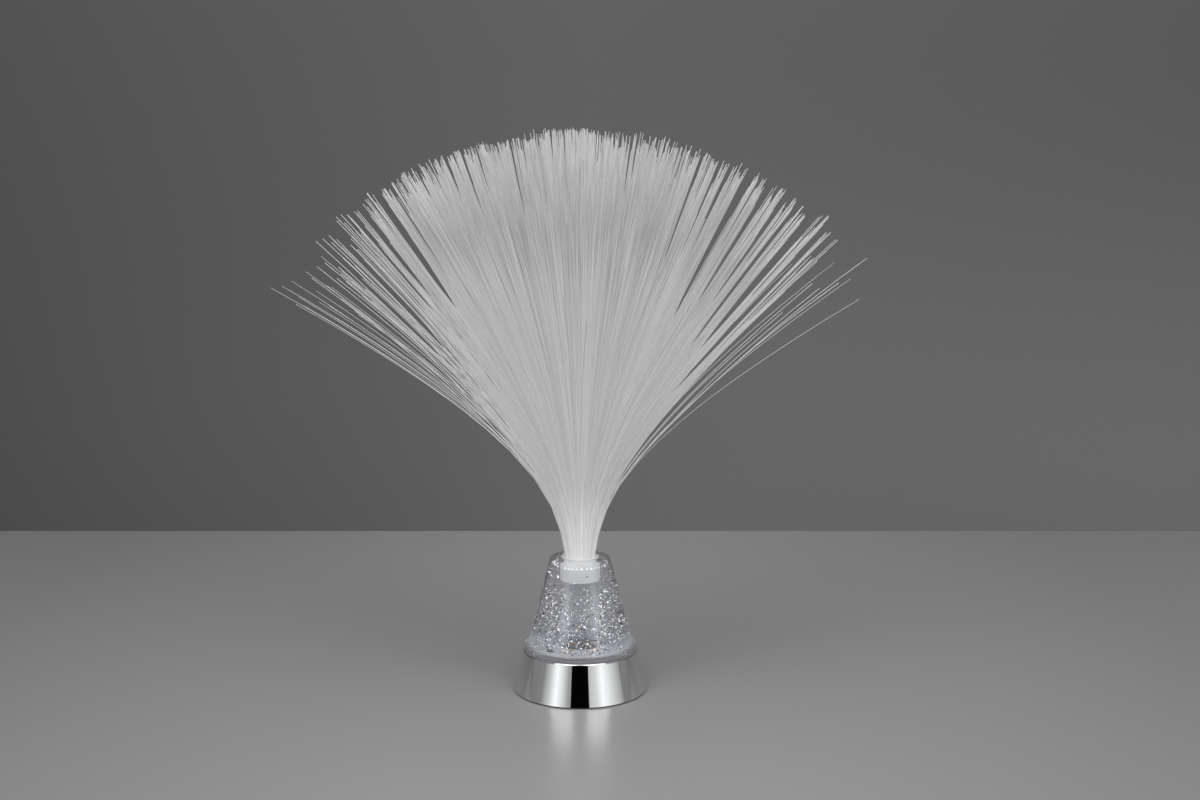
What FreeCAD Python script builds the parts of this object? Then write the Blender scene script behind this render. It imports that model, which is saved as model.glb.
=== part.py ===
import FreeCAD, Part
import math
import os
import types
import Sketcher
from FreeCAD import Placement, Rotation, Vector

# Fibre optic lamp, in millimetres and degrees. +Z is up and the origin is the point on the table
# under the lamp's axis. A chrome base holds three AAA cells, a slide switch and an LED board. A clear
# cone full of glitter stands on it, and a white sleeve with the spray of fibres plugs into the cone.

doc = FreeCAD.newDocument("fibre_optic_lamp")
sheet = doc.addObject("Spreadsheet::Sheet", "sizes")

driving_sizes = {
    # chrome base
    "rim_height": 0.8,
    "base_height": 24.4,
    "side_slope": 0.2458,
    "shell_wall": 2.0,
    "deck_thickness": 2.0,
    "deck_hole_radius": 13.4,
    "deck_round": 1.2,
    "lip_wall": 1.3,
    "bay_clearance": 1.45,
    # bottom plate, its feet and its screws
    "plate_height": 1.2,
    "plate_thickness": 2.0,
    "plate_gap": 0.2,
    "seat_gap": 0.1,
    "foot_radius": 4.0,
    "foot_recess": 0.8,
    "foot_margin": 1.1,
    "boss_radius": 2.8,
    "boss_gap": 0.3,
    "screw_radius": 1.0,
    "screw_length": 8.0,
    "screw_head_radius": 2.1,
    "screw_head_height": 1.0,
    "screw_hole_gap": 0.2,
    "pilot_gap": 0.02,
    # battery bay
    "cell_diameter": 10.5,
    "cell_length": 44.5,
    "cell_nub_radius": 1.9,
    "cell_nub_height": 0.8,
    "cell_gap": 0.4,
    "cell_play": 0.35,
    "bay_wall": 1.2,
    "bay_roof": 1.2,
    "contact_thickness": 0.3,
    "contact_width": 8.0,
    "contact_foot": 2.6,
    "contact_tab_width": 2.0,
    "spring_length": 5.9,
    "spring_radius": 2.8,
    "spring_taper": 12.0,
    "spring_turns": 2.0,
    "spring_wire": 0.5,
    # battery door
    "door_thickness": 1.3,
    "door_gap": 0.3,
    "door_ledge": 0.8,
    "door_corner": 1.5,
    "hook_offset": 10.0,
    "hook_width": 6.0,
    "hook_thickness": 0.9,
    "hook_reach": 2.0,
    "hook_riser": 1.0,
    "hook_lift": 0.1,
    "window_height": 2.1,
    "latch_width": 12.0,
    "latch_height": 1.4,
    "latch_nib": 0.8,
    "latch_slit": 0.8,
    "latch_slit_length": 8.0,
    "thumb_groove": 0.4,
    # slide switch
    "switch_gap": 3.0,
    "switch_width": 4.4,
    "switch_length": 8.6,
    "switch_height": 3.6,
    "switch_pin": 2.4,
    "switch_travel": 2.0,
    "slider_width": 1.6,
    "slider_length": 2.4,
    "slider_gap": 0.3,
    "slider_depth": 1.1,
    "slider_inset": 0.3,
    "finger_dish": 1.0,
    "rail_height": 2.6,
    # LED board
    "board_drop": 4.2,
    "board_thickness": 1.6,
    "board_radius": 12.5,
    "board_screw_offset": 9.6,
    "board_screw_radius": 0.8,
    "board_screw_gap": 1.1,
    "board_screw_head_radius": 1.7,
    "board_screw_head_height": 1.1,
    "post_radius": 2.0,
    "led_offset": 3.8,
    "led_radius": 2.5,
    "led_flange_radius": 2.9,
    "led_flange_height": 1.0,
    "led_height": 8.6,
    "led_leg": 0.5,
    "led_leg_spacing": 2.54,
    "lead_hole_radius": 0.5,
    "chip_length": 4.9,
    "chip_width": 3.9,
    "chip_height": 1.4,
    "chip_gap": 0.3,
    "chip_pitch": 1.27,
    "chip_leg": 1.0,
    "resistor_offset": 8.2,
    "resistor_length": 4.4,
    "resistor_radius": 0.95,
    "wire_radius": 0.6,
    "lead_bend": 1.2,
    "lead_run": 8.0,
    "lead_slack": 2.0,
    "lead_circle": 9.4,
    # clear cone with its light tube
    "vessel_height": 54.7,
    "vessel_wall": 2.5,
    "vessel_top_wall": 3.5,
    "vessel_edge_round": 1.5,
    "flange_inset": 0.3,
    "flange_width": 2.0,
    "flange_thickness": 3.2,
    "flange_round": 0.8,
    "top_rim_width": 6.375,
    "socket_depth": 14.1,
    "socket_wall": 1.9,
    "socket_floor": 2.2,
    "floor_thickness": 2.2,
    "floor_gap": 0.15,
    "tube_wall": 1.5,
    "tube_foot_radius": 9.4,
    "tube_top_radius": 6.1,
    "tube_gap": 0.1,
    "seal_height": 1.1,
    "seal_width": 0.9,
    "plug_offset": 22.0,
    "plug_angle": 223.0,
    "plug_radius": 1.95,
    "plug_rise": 0.6,
    "vessel_screw_inset": 0.9,
    "vessel_screw_radius": 0.9,
    "vessel_screw_bite": 3.0,
    "vessel_screw_head_radius": 1.8,
    "vessel_screw_head_height": 1.3,
    "fill_gap": 0.15,
    # sleeve and fibres
    "sleeve_wall": 1.2,
    "sleeve_gap": 0.1,
    "sleeve_flange_width": 1.2,
    "sleeve_flange_thickness": 1.3,
    "sleeve_seat_depth": 0.9,
    "sleeve_mouth_flare": 0.9,
    "sleeve_mouth_depth": 2.6,
    "strand_flats": 1.25,
    "strand_pitch": 1.54,
    "strand_gap": 0.2,
    "neck_run": 24.0,
    "neck_heading": 12.5,
    "bend_run": 30.0,
    "bend_heading": 28.5,
    "shoulder_run": 36.0,
    "shoulder_heading": 44.0,
    "arm_run": 60.0,
    "arm_heading": 53.0,
    "tip_run": 92.0,
    "tip_heading": 59.5,
    "crown_run": 6.0,
    "spray_share": 0.78,
    "stray_share": 1.03,
    "stray_thickness": 0.9,
    "blade_width": 15.0,
    "blade_thickness": 0.25,
    "tuft_gap": 1.8,
    "ring_turn": 3.0,
}
ring_count = 5
strands_per_ring_step = 6
# Every fifth place of the outer ring holds a stray; inner rings crowd towards the axis.
stray_step = 5
crowding = 1.2
# Locks start to widen at the end of their neck, which is the second run after the sleeve's.
spread_start = 2
# How far a cut runs past the face it opens, or a joined pad into its neighbour.
overrun = 1.0
column_headings = ("name", "value")
for column, heading in zip("AB", column_headings):
    sheet.set(f"{column}1", heading)
for row, (alias, number) in enumerate(driving_sizes.items(), start=2):
    sheet.set(f"A{row}", alias)
    sheet.set(f"B{row}", str(number))
    sheet.setAlias(f"B{row}", alias)
doc.recompute()


class Size:
    """A number together with the sheet expression that gives it."""

    def __init__(self, number, text):
        self.number = number
        self.text = text

    def __add__(self, other):
        return Size(self.number + number_of(other), f"({self.text} + {text_of(other)})")

    def __sub__(self, other):
        return Size(self.number - number_of(other), f"({self.text} - {text_of(other)})")

    def __mul__(self, other):
        return Size(self.number * number_of(other), f"({self.text} * {text_of(other)})")

    def __truediv__(self, other):
        return Size(self.number / number_of(other), f"({self.text} / {text_of(other)})")

    def __rsub__(self, other):
        return Size(number_of(other) - self.number, f"({text_of(other)} - {self.text})")

    def __neg__(self):
        return self * -1

    __radd__ = __add__


def number_of(value):
    return value.number if isinstance(value, Size) else value


def text_of(value):
    return value.text if isinstance(value, Size) else f"{value:.9g}"


def sine(angle):
    return Size(math.sin(math.radians(number_of(angle))), f"sin({text_of(angle)})")


def cosine(angle):
    return Size(math.cos(math.radians(number_of(angle))), f"cos({text_of(angle)})")


def root(value):
    return Size(math.sqrt(number_of(value)), f"sqrt({text_of(value)})")


def bind(target, path, value):
    """Tie one property to its expression."""
    target.setExpression(path, text_of(value))


named = {alias: Size(number, f"sizes.{alias}") for alias, number in driving_sizes.items()}
s = types.SimpleNamespace(**named)

# Places worked out from the driving sizes, from the table upwards.
plate_top = s.plate_height + s.plate_thickness
door_top = s.plate_height + s.door_thickness
cell_radius = s.cell_diameter / 2
cell_pitch = s.cell_diameter + s.cell_gap
cell_height = door_top + s.cell_play + cell_radius
bay_half_width = cell_radius * 3 + s.cell_gap + s.cell_play
bay_half_length = (s.cell_length + s.spring_length) / 2 + s.contact_thickness
bay_top = cell_height + cell_radius + s.cell_play
roof_top = bay_top + s.bay_roof
door_half_width = bay_half_width + s.door_ledge
door_half_length = bay_half_length + s.door_ledge
box_half_width = bay_half_width + s.bay_wall
box_half_length = bay_half_length + s.bay_wall
box_corner = root(box_half_width * box_half_width + box_half_length * box_half_length)
base_radius = box_corner + s.bay_clearance + s.shell_wall + (roof_top - s.rim_height) * s.side_slope
deck_radius = base_radius - (s.base_height - s.rim_height) * s.side_slope
deck_underside = s.base_height - s.deck_thickness
deck_inner_radius = base_radius - (deck_underside - s.rim_height) * s.side_slope - s.shell_wall
seat_radius = base_radius - (plate_top - s.rim_height) * s.side_slope
lip_radius = seat_radius - s.lip_wall
plate_radius = lip_radius - s.plate_gap
foot_circle = plate_radius - s.foot_radius - s.foot_margin
boss_x = box_half_width + s.boss_gap + s.boss_radius
boss_circle = deck_inner_radius - s.boss_gap - s.boss_radius
boss_y = root(boss_circle * boss_circle - boss_x * boss_x)
board_top = s.base_height - s.board_drop
board_underside = board_top - s.board_thickness
chip_y = s.led_offset + s.led_flange_radius + s.chip_gap + s.chip_length / 2
lead_height = (roof_top + board_underside) / 2
switch_x = box_half_width + s.switch_gap + s.switch_width / 2
switch_foot = plate_top + s.seat_gap
switch_top = switch_foot + s.switch_height

strand_reach = s.strand_pitch * ring_count + s.strand_flats / 2
sleeve_bore = strand_reach + s.strand_gap
sleeve_radius = sleeve_bore + s.sleeve_wall
socket_radius = sleeve_radius + s.sleeve_gap
sleeve_flange_radius = sleeve_radius + s.sleeve_flange_width
seat_recess_radius = sleeve_flange_radius + s.strand_gap
vessel_top = s.base_height + s.vessel_height
sleeve_seat = vessel_top - s.sleeve_seat_depth
sleeve_flange_underside = sleeve_seat + s.sleeve_gap
sleeve_top = sleeve_flange_underside + s.sleeve_flange_thickness
socket_bottom = vessel_top - s.socket_depth
sleeve_bottom = socket_bottom + s.strand_gap
mouth_start = sleeve_top - s.sleeve_mouth_depth
flange_radius = deck_radius - s.flange_inset
flange_top = s.base_height + s.flange_thickness
cone_foot_radius = flange_radius - s.flange_width
cone_top_radius = seat_recess_radius + s.top_rim_width
cone_slope = (cone_foot_radius - cone_top_radius) / (vessel_top - flange_top)
vessel_inner_radius = cone_foot_radius - s.vessel_wall
ceiling = vessel_top - s.vessel_top_wall
ceiling_radius = cone_top_radius + cone_slope * s.vessel_top_wall - s.vessel_wall
socket_outer_radius = socket_radius + s.socket_wall
socket_underside = socket_bottom - s.socket_floor
floor_top = s.base_height + s.floor_thickness
tube_top = socket_bottom - s.strand_gap
lock_runs = (s.neck_run, s.bend_run, s.shoulder_run, s.arm_run, s.tip_run)
lock_headings = (s.neck_heading, s.bend_heading, s.shoulder_heading, s.arm_heading, s.tip_heading)
tube_slope = (s.tube_foot_radius - s.tube_top_radius) / (tube_top - floor_top)
tube_bore_radius = s.tube_top_radius + s.tube_wall + tube_slope * (tube_top - socket_underside) + s.tube_gap
vessel_screw_circle = vessel_inner_radius + s.vessel_screw_inset
vessel_screw_angles = (90, 210, 330)
base_screw_places = [(boss_x * i, boss_y * j) for i in (1, -1) for j in (1, -1)]
board_screw_places = [(s.board_screw_offset * i, 0) for i in (1, -1)]
led_angles = (90, 210, 330)
lead_angles = (322, 233)


def around(radius, angles):
    """Places on a circle about the lamp's axis."""
    return [(radius * math.cos(math.radians(a)), radius * math.sin(math.radians(a))) for a in angles]


def new_body(name):
    body = doc.addObject("PartDesign::Body", name)
    body.Label = name
    body.AllowCompound = True
    return body


def datum(body, role):
    return next(item for item in body.Origin.OriginFeatures if item.Role == role)


def new_sketch(body, name, role, lift=0):
    """A sketch on one of the body's own origin planes, lifted along the plane's normal."""
    sketch = body.newObject("Sketcher::SketchObject", f"{body.Name}_{name}")
    sketch.AttachmentSupport = [(datum(body, role), "")]
    sketch.MapMode = "FlatFace"
    bind(sketch, ".AttachmentOffset.Base.z", lift)
    return sketch


def hold(sketch, element, point, x, y):
    """Fix a sketch point by its distances from the sketch's origin."""
    for kind, value in (("DistanceX", x), ("DistanceY", y)):
        constraint = Sketcher.Constraint(kind, -1, 1, element, point, number_of(value))
        index = sketch.addConstraint(constraint)
        bind(sketch, f"Constraints[{index}]", value)


def polyline(sketch, places, closed=True):
    corners = [Vector(number_of(x), number_of(y), 0) for x, y in places]
    first = sketch.GeometryCount
    ends = corners[1:] + corners[:1] if closed else corners[1:]
    for start, end in zip(corners, ends):
        sketch.addGeometry(Part.LineSegment(start, end), False)
    count = len(ends)
    for i in range(count if closed else count - 1):
        sketch.addConstraint(Sketcher.Constraint("Coincident", first + i, 2, first + (i + 1) % count, 1))
    for i, (x, y) in enumerate(places[:count]):
        hold(sketch, first + i, 1, x, y)
    if not closed:
        hold(sketch, first + count - 1, 2, *places[-1])


def rectangle(sketch, x_low, y_low, x_high, y_high):
    polyline(sketch, [(x_low, y_low), (x_high, y_low), (x_high, y_high), (x_low, y_high)])


def block(sketch, x, y, width, length):
    rectangle(sketch, x - width / 2, y - length / 2, x + width / 2, y + length / 2)


def disc(sketch, place, radius):
    x, y = place
    centre = Vector(number_of(x), number_of(y), 0)
    element = sketch.addGeometry(Part.Circle(centre, Vector(0, 0, 1), number_of(radius)), False)
    hold(sketch, element, 3, x, y)
    index = sketch.addConstraint(Sketcher.Constraint("Radius", element, number_of(radius)))
    bind(sketch, f"Constraints[{index}]", radius)


def feature(body, kind, sketch):
    made = body.newObject(f"PartDesign::{kind}", f"{sketch.Name}_{kind.lower()}")
    made.Profile = sketch
    return made


def pad(body, sketch, length, downward=False, midplane=False):
    made = feature(body, "Pad", sketch)
    bind(made, "Length", length)
    made.Reversed = downward
    made.Midplane = midplane
    return made


def pocket(body, sketch, depth, upward=True):
    made = feature(body, "Pocket", sketch)
    bind(made, "Length", depth)
    made.Reversed = upward
    return made


def revolve(body, places, name="profile", kind="Revolution"):
    """Turn a half section of (radius, height) places about the vertical axis."""
    sketch = new_sketch(body, name, "XZ_Plane")
    polyline(sketch, places)
    made = feature(body, kind, sketch)
    made.ReferenceAxis = (sketch, ["V_Axis"])
    made.Angle = 360
    return made


def repeat(body, original, count):
    made = body.newObject("PartDesign::PolarPattern", f"{original.Name}_pattern")
    made.Originals = [original]
    made.Axis = (datum(body, "Z_Axis"), [""])
    made.Angle = 360
    made.Occurrences = count
    body.Tip = made
    return made


only_copied = []


def copies(name, source, turns):
    """One node of many linked copies of a body, each turned about the lamp's axis."""
    link = doc.addObject("App::Link", f"{name}_links")
    link.LinkedObject = source
    link.ShowElement = False
    link.ElementCount = len(turns)
    link.PlacementList = [Placement(Vector(), Rotation(Vector(0, 0, 1), turn)) for turn in turns]
    whole = doc.addObject("Part::Compound", name)
    whole.Links = [link]
    only_copied.append(source)
    return whole


def mirror(body, original):
    made = body.newObject("PartDesign::Mirrored", f"{original.Name}_mirror")
    made.Originals = [original]
    made.MirrorPlane = (datum(body, "YZ_Plane"), [""])
    body.Tip = made
    return made


def dress(body, kind, size, wanted):
    """Round or bevel the edges of the body that the wanted test picks."""
    doc.recompute()
    tip = body.Tip
    names = [f"Edge{i}" for i, edge in enumerate(tip.Shape.Edges, start=1) if wanted(edge)]
    made = body.newObject(f"PartDesign::{kind}", f"{body.Name}_{kind.lower()}{len(body.Group)}")
    made.Base = (tip, names)
    bind(made, "Radius" if kind == "Fillet" else "Size", size)
    return made


def ring(radius, height):
    """A test for the circular edge of this radius about the axis, at this height."""
    def wanted(edge):
        curve = edge.Curve
        if not isinstance(curve, Part.Circle):
            return False
        same_size = math.isclose(curve.Radius, number_of(radius), abs_tol=1e-4)
        same_height = math.isclose(curve.Center.z, number_of(height), abs_tol=1e-4)
        return same_size and same_height and math.hypot(curve.Center.x, curve.Center.y) < 1e-4
    return wanted


def upright(x, y):
    """A test for vertical edges at plus or minus this x and y."""
    def wanted(edge):
        first, last = edge.Vertexes[0].Point, edge.Vertexes[-1].Point
        vertical = math.hypot(first.x - last.x, first.y - last.y) < 1e-4
        off_corner = math.hypot(abs(first.x) - number_of(x), abs(first.y) - number_of(y))
        return vertical and off_corner < 1e-4
    return wanted


def place(body, x, y, z, rotation=Rotation()):
    body.Placement = Placement(Vector(number_of(x), number_of(y), number_of(z)), rotation)
    for axis, value in zip("xyz", (x, y, z)):
        bind(body, f"Placement.Base.{axis}", value)


def base_shell():
    """Chrome-plated frustum: deck, rebated foot, four screw bosses, three screw holes for the cone."""
    body = new_body("base_shell")
    revolve(body, [
        (base_radius, s.rim_height),
        (deck_radius, s.base_height),
        (s.deck_hole_radius, s.base_height),
        (s.deck_hole_radius, deck_underside),
        (deck_inner_radius, deck_underside),
        (seat_radius - s.shell_wall, plate_top),
        (lip_radius, plate_top),
        (lip_radius, s.rim_height),
    ])
    bosses = new_sketch(body, "bosses", "XY_Plane", plate_top)
    for spot in base_screw_places:
        disc(bosses, spot, s.boss_radius)
    pad(body, bosses, deck_underside - plate_top)
    pilots = new_sketch(body, "pilots", "XY_Plane", plate_top)
    for spot in base_screw_places:
        disc(pilots, spot, s.screw_radius + s.pilot_gap)
    pocket(body, pilots, s.screw_length)
    hole = new_sketch(body, "vessel_screw_holes", "XY_Plane", deck_underside)
    for spot in around(vessel_screw_circle, vessel_screw_angles):
        disc(hole, spot, s.vessel_screw_radius + s.screw_hole_gap)
    pocket(body, hole, s.deck_thickness)
    dress(body, "Fillet", s.deck_round, ring(deck_radius, s.base_height))


def bottom_plate():
    """Round plate with the battery bay, board posts, switch rails and the seats for screws and feet."""
    body = new_body("bottom_plate")
    plate = new_sketch(body, "plate", "XY_Plane", s.plate_height)
    disc(plate, (0, 0), plate_radius)
    pad(body, plate, s.plate_thickness)
    box = new_sketch(body, "box", "XY_Plane", plate_top)
    rectangle(box, -box_half_width, -box_half_length, box_half_width, box_half_length)
    pad(body, box, roof_top - plate_top)
    posts = new_sketch(body, "posts", "XY_Plane", roof_top)
    for spot in board_screw_places:
        disc(posts, spot, s.post_radius)
    pad(body, posts, board_underside - roof_top)
    rails = new_sketch(body, "rails", "XY_Plane", plate_top)
    rail_y = s.switch_length / 2 + s.seat_gap + s.bay_wall / 2
    for side in (1, -1):
        block(rails, switch_x, rail_y * side, s.switch_width, s.bay_wall)
    pad(body, rails, s.rail_height)

    bay = new_sketch(body, "bay", "XY_Plane", s.plate_height)
    rectangle(bay, -bay_half_width, -bay_half_length, bay_half_width, bay_half_length)
    pocket(body, bay, bay_top - s.plate_height)
    opening = new_sketch(body, "door_opening", "XY_Plane", s.plate_height)
    rectangle(opening, -door_half_width, -door_half_length, door_half_width, door_half_length)
    pocket(body, opening, s.door_thickness + s.hook_lift)
    notches = new_sketch(body, "hook_notches", "XY_Plane", s.plate_height)
    windows = new_sketch(body, "hook_windows", "XY_Plane", plate_top)
    slot_width = s.hook_width + s.door_gap * 2
    for side in (1, -1):
        x = s.hook_offset * side
        left = x - slot_width / 2
        right = x + slot_width / 2
        rectangle(notches, left, -door_half_length, right, -bay_half_length + overrun)
        rectangle(windows, left, -box_half_length - overrun, right, -bay_half_length + overrun)
    pocket(body, notches, s.plate_thickness)
    pocket(body, windows, s.window_height)
    window = new_sketch(body, "latch_window", "XY_Plane", plate_top)
    latch_half = s.latch_width / 2 + s.door_gap
    rectangle(window, -latch_half, bay_half_length - overrun, latch_half, box_half_length + overrun)
    pocket(body, window, s.window_height)
    tabs = new_sketch(body, "contact_tab_slots", "XY_Plane", bay_top - overrun)
    tab_depth = s.contact_thickness + s.seat_gap
    for side in (1, -1):
        x = cell_pitch * side
        y = (bay_half_length - tab_depth / 2) * side
        block(tabs, x, y, s.contact_tab_width + s.seat_gap * 2, tab_depth)
    pocket(body, tabs, s.bay_roof + overrun * 2)
    pilots = new_sketch(body, "post_pilots", "XY_Plane", roof_top)
    for spot in board_screw_places:
        disc(pilots, spot, s.board_screw_radius + s.pilot_gap)
    pocket(body, pilots, board_underside - roof_top)

    holes = new_sketch(body, "screw_holes", "XY_Plane", s.plate_height)
    for spot in base_screw_places:
        disc(holes, spot, s.screw_radius + s.screw_hole_gap)
    pocket(body, holes, s.plate_thickness)
    sinks = new_sketch(body, "head_recesses", "XY_Plane", s.plate_height)
    for spot in base_screw_places:
        disc(sinks, spot, s.screw_head_radius + s.screw_hole_gap)
    pocket(body, sinks, s.screw_head_height)
    dish = new_sketch(body, "finger_dish", "XY_Plane", s.plate_height)
    block(dish, switch_x, 0, s.switch_width + s.slider_gap, s.switch_length + s.slider_gap)
    pocket(body, dish, s.finger_dish)
    slot = new_sketch(body, "slider_slot", "XY_Plane", s.plate_height)
    slot_length = s.slider_length + s.switch_travel + s.slider_gap * 2
    block(slot, switch_x, 0, s.slider_width + s.slider_gap * 2, slot_length)
    pocket(body, slot, s.plate_thickness)
    seat = new_sketch(body, "foot_seat", "XY_Plane", s.plate_height)
    disc(seat, (foot_circle, 0), s.foot_radius + s.seat_gap)
    repeat(body, pocket(body, seat, s.foot_recess), 4)


def rubber_feet():
    """Four soft discs glued into the seats under the plate."""
    body = new_body("rubber_feet")
    foot = new_sketch(body, "foot", "XY_Plane")
    disc(foot, (foot_circle, 0), s.foot_radius)
    repeat(body, pad(body, foot, s.plate_height + s.foot_recess), 4)


def screws(name, spots, seat, length, radius, head_radius, head_height, upward):
    """A group of pan-head screws with their heads' seats at one height."""
    body = new_body(name)
    shanks = new_sketch(body, "shanks", "XY_Plane", seat)
    heads = new_sketch(body, "heads", "XY_Plane", seat)
    for spot in spots:
        disc(shanks, spot, radius)
        disc(heads, spot, head_radius)
    pad(body, shanks, length, downward=not upward)
    pad(body, heads, head_height, downward=upward)


def battery_cells():
    """Three AAA cells side by side, the middle one turned round."""
    for i in range(3):
        body = new_body(f"battery_cell_{i + 1}")
        can_length = s.cell_length - s.cell_nub_height
        revolve(body, [
            (0, 0),
            (cell_radius, 0),
            (cell_radius, can_length),
            (s.cell_nub_radius, can_length),
            (s.cell_nub_radius, s.cell_length),
            (0, s.cell_length),
        ])
        way = -1 if i == 1 else 1
        start = (bay_half_length - s.contact_thickness - s.cell_length) * way
        place(body, cell_pitch * (i - 1), start, cell_height, Rotation(Vector(1, 0, 0), -90 * way))


def contact_springs():
    """A conical spring behind the flat end of each cell."""
    for i in range(3):
        name = f"contact_spring_{i + 1}"
        path = doc.addObject("Part::Helix", f"{name}_path")
        bind(path, "Radius", s.spring_radius)
        bind(path, "Height", s.spring_length - s.spring_wire)
        bind(path, "Pitch", (s.spring_length - s.spring_wire) / s.spring_turns)
        bind(path, "Angle", -s.spring_taper)
        wire = doc.addObject("Part::RegularPolygon", f"{name}_wire")
        wire.Polygon = 4
        bind(wire, "Circumradius", s.spring_wire / 2)
        wire.Placement = Placement(Vector(0, 0, 0), Rotation(Vector(1, 0, 0), 90))
        bind(wire, "Placement.Base.x", s.spring_radius)
        spring = doc.addObject("Part::Sweep", name)
        spring.Label = name
        spring.Sections = [wire]
        spring.Spine = (path, [])
        spring.Solid = True
        spring.Frenet = True
        way = -1 if i == 1 else 1
        start = (s.contact_thickness + s.spring_wire / 2 - bay_half_length) * way
        place(spring, cell_pitch * (i - 1), start, cell_height, Rotation(Vector(1, 0, 0), -90 * way))


def contacts():
    """Spring-steel plates on the bay's end walls: two bridges and two ends with solder tabs."""
    low = plate_top + s.contact_foot
    high = bay_top - s.seat_gap
    for i, side in enumerate((1, -1)):
        wall = (bay_half_length - s.contact_thickness) * -side
        reach = s.contact_width / 2
        lift = wall if side == 1 else wall + s.contact_thickness
        bridge = new_body(f"bridge_contact_{i + 1}")
        plate = new_sketch(bridge, "plate", "XZ_Plane", -lift)
        rectangle(plate, -reach + cell_pitch * (side - 1) / 2, low, reach + cell_pitch * (side + 1) / 2, high)
        pad(bridge, plate, s.contact_thickness)
        end = new_body(f"end_contact_{i + 1}")
        x = cell_pitch * -side
        plate = new_sketch(end, "plate", "XZ_Plane", -lift)
        rectangle(plate, x - reach, low, x + reach, high)
        pad(end, plate, s.contact_thickness)
        tab = new_sketch(end, "tab", "XZ_Plane", -lift)
        half_tab = s.contact_tab_width / 2
        rectangle(tab, x - half_tab, high - overrun, x + half_tab, lead_height + s.wire_radius)
        pad(end, tab, s.contact_thickness)


def battery_door():
    """Flat door with two hooks at its back edge and a slit-sided latch tab at its front edge."""
    body = new_body("battery_door")
    half_width = door_half_width - s.door_gap
    half_length = door_half_length - s.door_gap
    panel = new_sketch(body, "panel", "XY_Plane", s.plate_height)
    rectangle(panel, -half_width, -half_length, half_width, half_length)
    pad(body, panel, s.door_thickness)
    dress(body, "Fillet", s.door_corner, upright(half_width, half_length))
    hook = new_sketch(body, "hook", "YZ_Plane", s.hook_offset)
    hook_low = plate_top + s.hook_lift
    hook_high = hook_low + s.hook_thickness
    hook_root = door_top - s.door_thickness / 2
    tip = -door_half_length - s.hook_reach
    polyline(hook, [
        (-half_length, hook_root),
        (-half_length + s.hook_riser, hook_root),
        (-half_length + s.hook_riser, hook_high),
        (tip, hook_high),
        (tip, hook_low),
        (-half_length, hook_low),
    ])
    mirror(body, pad(body, hook, s.hook_width, midplane=True))
    latch = new_sketch(body, "latch", "YZ_Plane")
    face = bay_half_length - s.door_gap
    back = face - s.hook_riser
    nib = face + s.latch_nib
    polyline(latch, [
        (back, hook_root),
        (face, hook_root),
        (face, hook_low),
        (nib, hook_low),
        (nib, hook_low + s.hook_thickness / 2),
        (face, hook_low + s.hook_thickness),
        (face, plate_top + s.latch_height),
        (back, plate_top + s.latch_height),
    ])
    pad(body, latch, s.latch_width, midplane=True)
    slits = new_sketch(body, "slits", "XY_Plane", s.plate_height)
    slit_x = s.latch_width / 2 + s.latch_slit
    slit_y = half_length - s.latch_slit_length / 2 + overrun
    for side in (1, -1):
        block(slits, slit_x * side, slit_y, s.latch_slit, s.latch_slit_length + overrun * 2)
    pocket(body, slits, s.door_thickness)
    grip = new_sketch(body, "grip", "XY_Plane", s.plate_height)
    for i in (1, 2, 3):
        block(grip, 0, half_length - s.latch_slit * 2 * i, s.latch_width - s.latch_slit * 2, s.latch_slit)
    pocket(body, grip, s.thumb_groove)


def slide_switch():
    """Small slide switch over its slot in the plate, and the slider that a fingertip moves."""
    case = new_body("switch_body")
    shell = new_sketch(case, "case", "XY_Plane", switch_foot)
    block(shell, switch_x, 0, s.switch_width, s.switch_length)
    pad(case, shell, s.switch_height)
    pins = new_sketch(case, "pins", "XY_Plane", switch_top)
    for i in (-1, 0, 1):
        block(pins, switch_x, s.led_leg_spacing * i, s.led_leg, s.led_leg)
    pad(case, pins, s.switch_pin)
    race = new_sketch(case, "race", "XY_Plane", switch_foot)
    race_length = s.slider_length + s.switch_travel + s.slider_gap * 2
    block(race, switch_x, 0, s.slider_width + s.slider_gap * 2, race_length)
    pocket(case, race, s.slider_depth + s.slider_gap)
    slider = new_body("switch_slider")
    knob = new_sketch(slider, "knob", "XY_Plane", s.plate_height + s.slider_inset)
    block(knob, switch_x, -s.switch_travel / 2, s.slider_width, s.slider_length)
    pad(slider, knob, switch_foot + s.slider_depth - s.plate_height - s.slider_inset)


def lead_holes():
    """Places of the LED legs: two under each LED, side by side."""
    spread = s.led_leg_spacing / 2
    return [(x + spread * i, y) for x, y in around(s.led_offset, led_angles) for i in (1, -1)]


def led_board():
    """Tan phenolic disc on two posts, drilled for the LEDs, the screws and the two leads."""
    body = new_body("led_board")
    sheet_disc = new_sketch(body, "disc", "XY_Plane", board_underside)
    disc(sheet_disc, (0, 0), s.board_radius)
    pad(body, sheet_disc, s.board_thickness)
    holes = new_sketch(body, "holes", "XY_Plane", board_underside)
    for spot in lead_holes():
        disc(holes, spot, s.lead_hole_radius)
    for spot in board_screw_places:
        disc(holes, spot, s.board_screw_radius + s.screw_hole_gap)
    pocket(body, holes, s.board_thickness)


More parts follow.
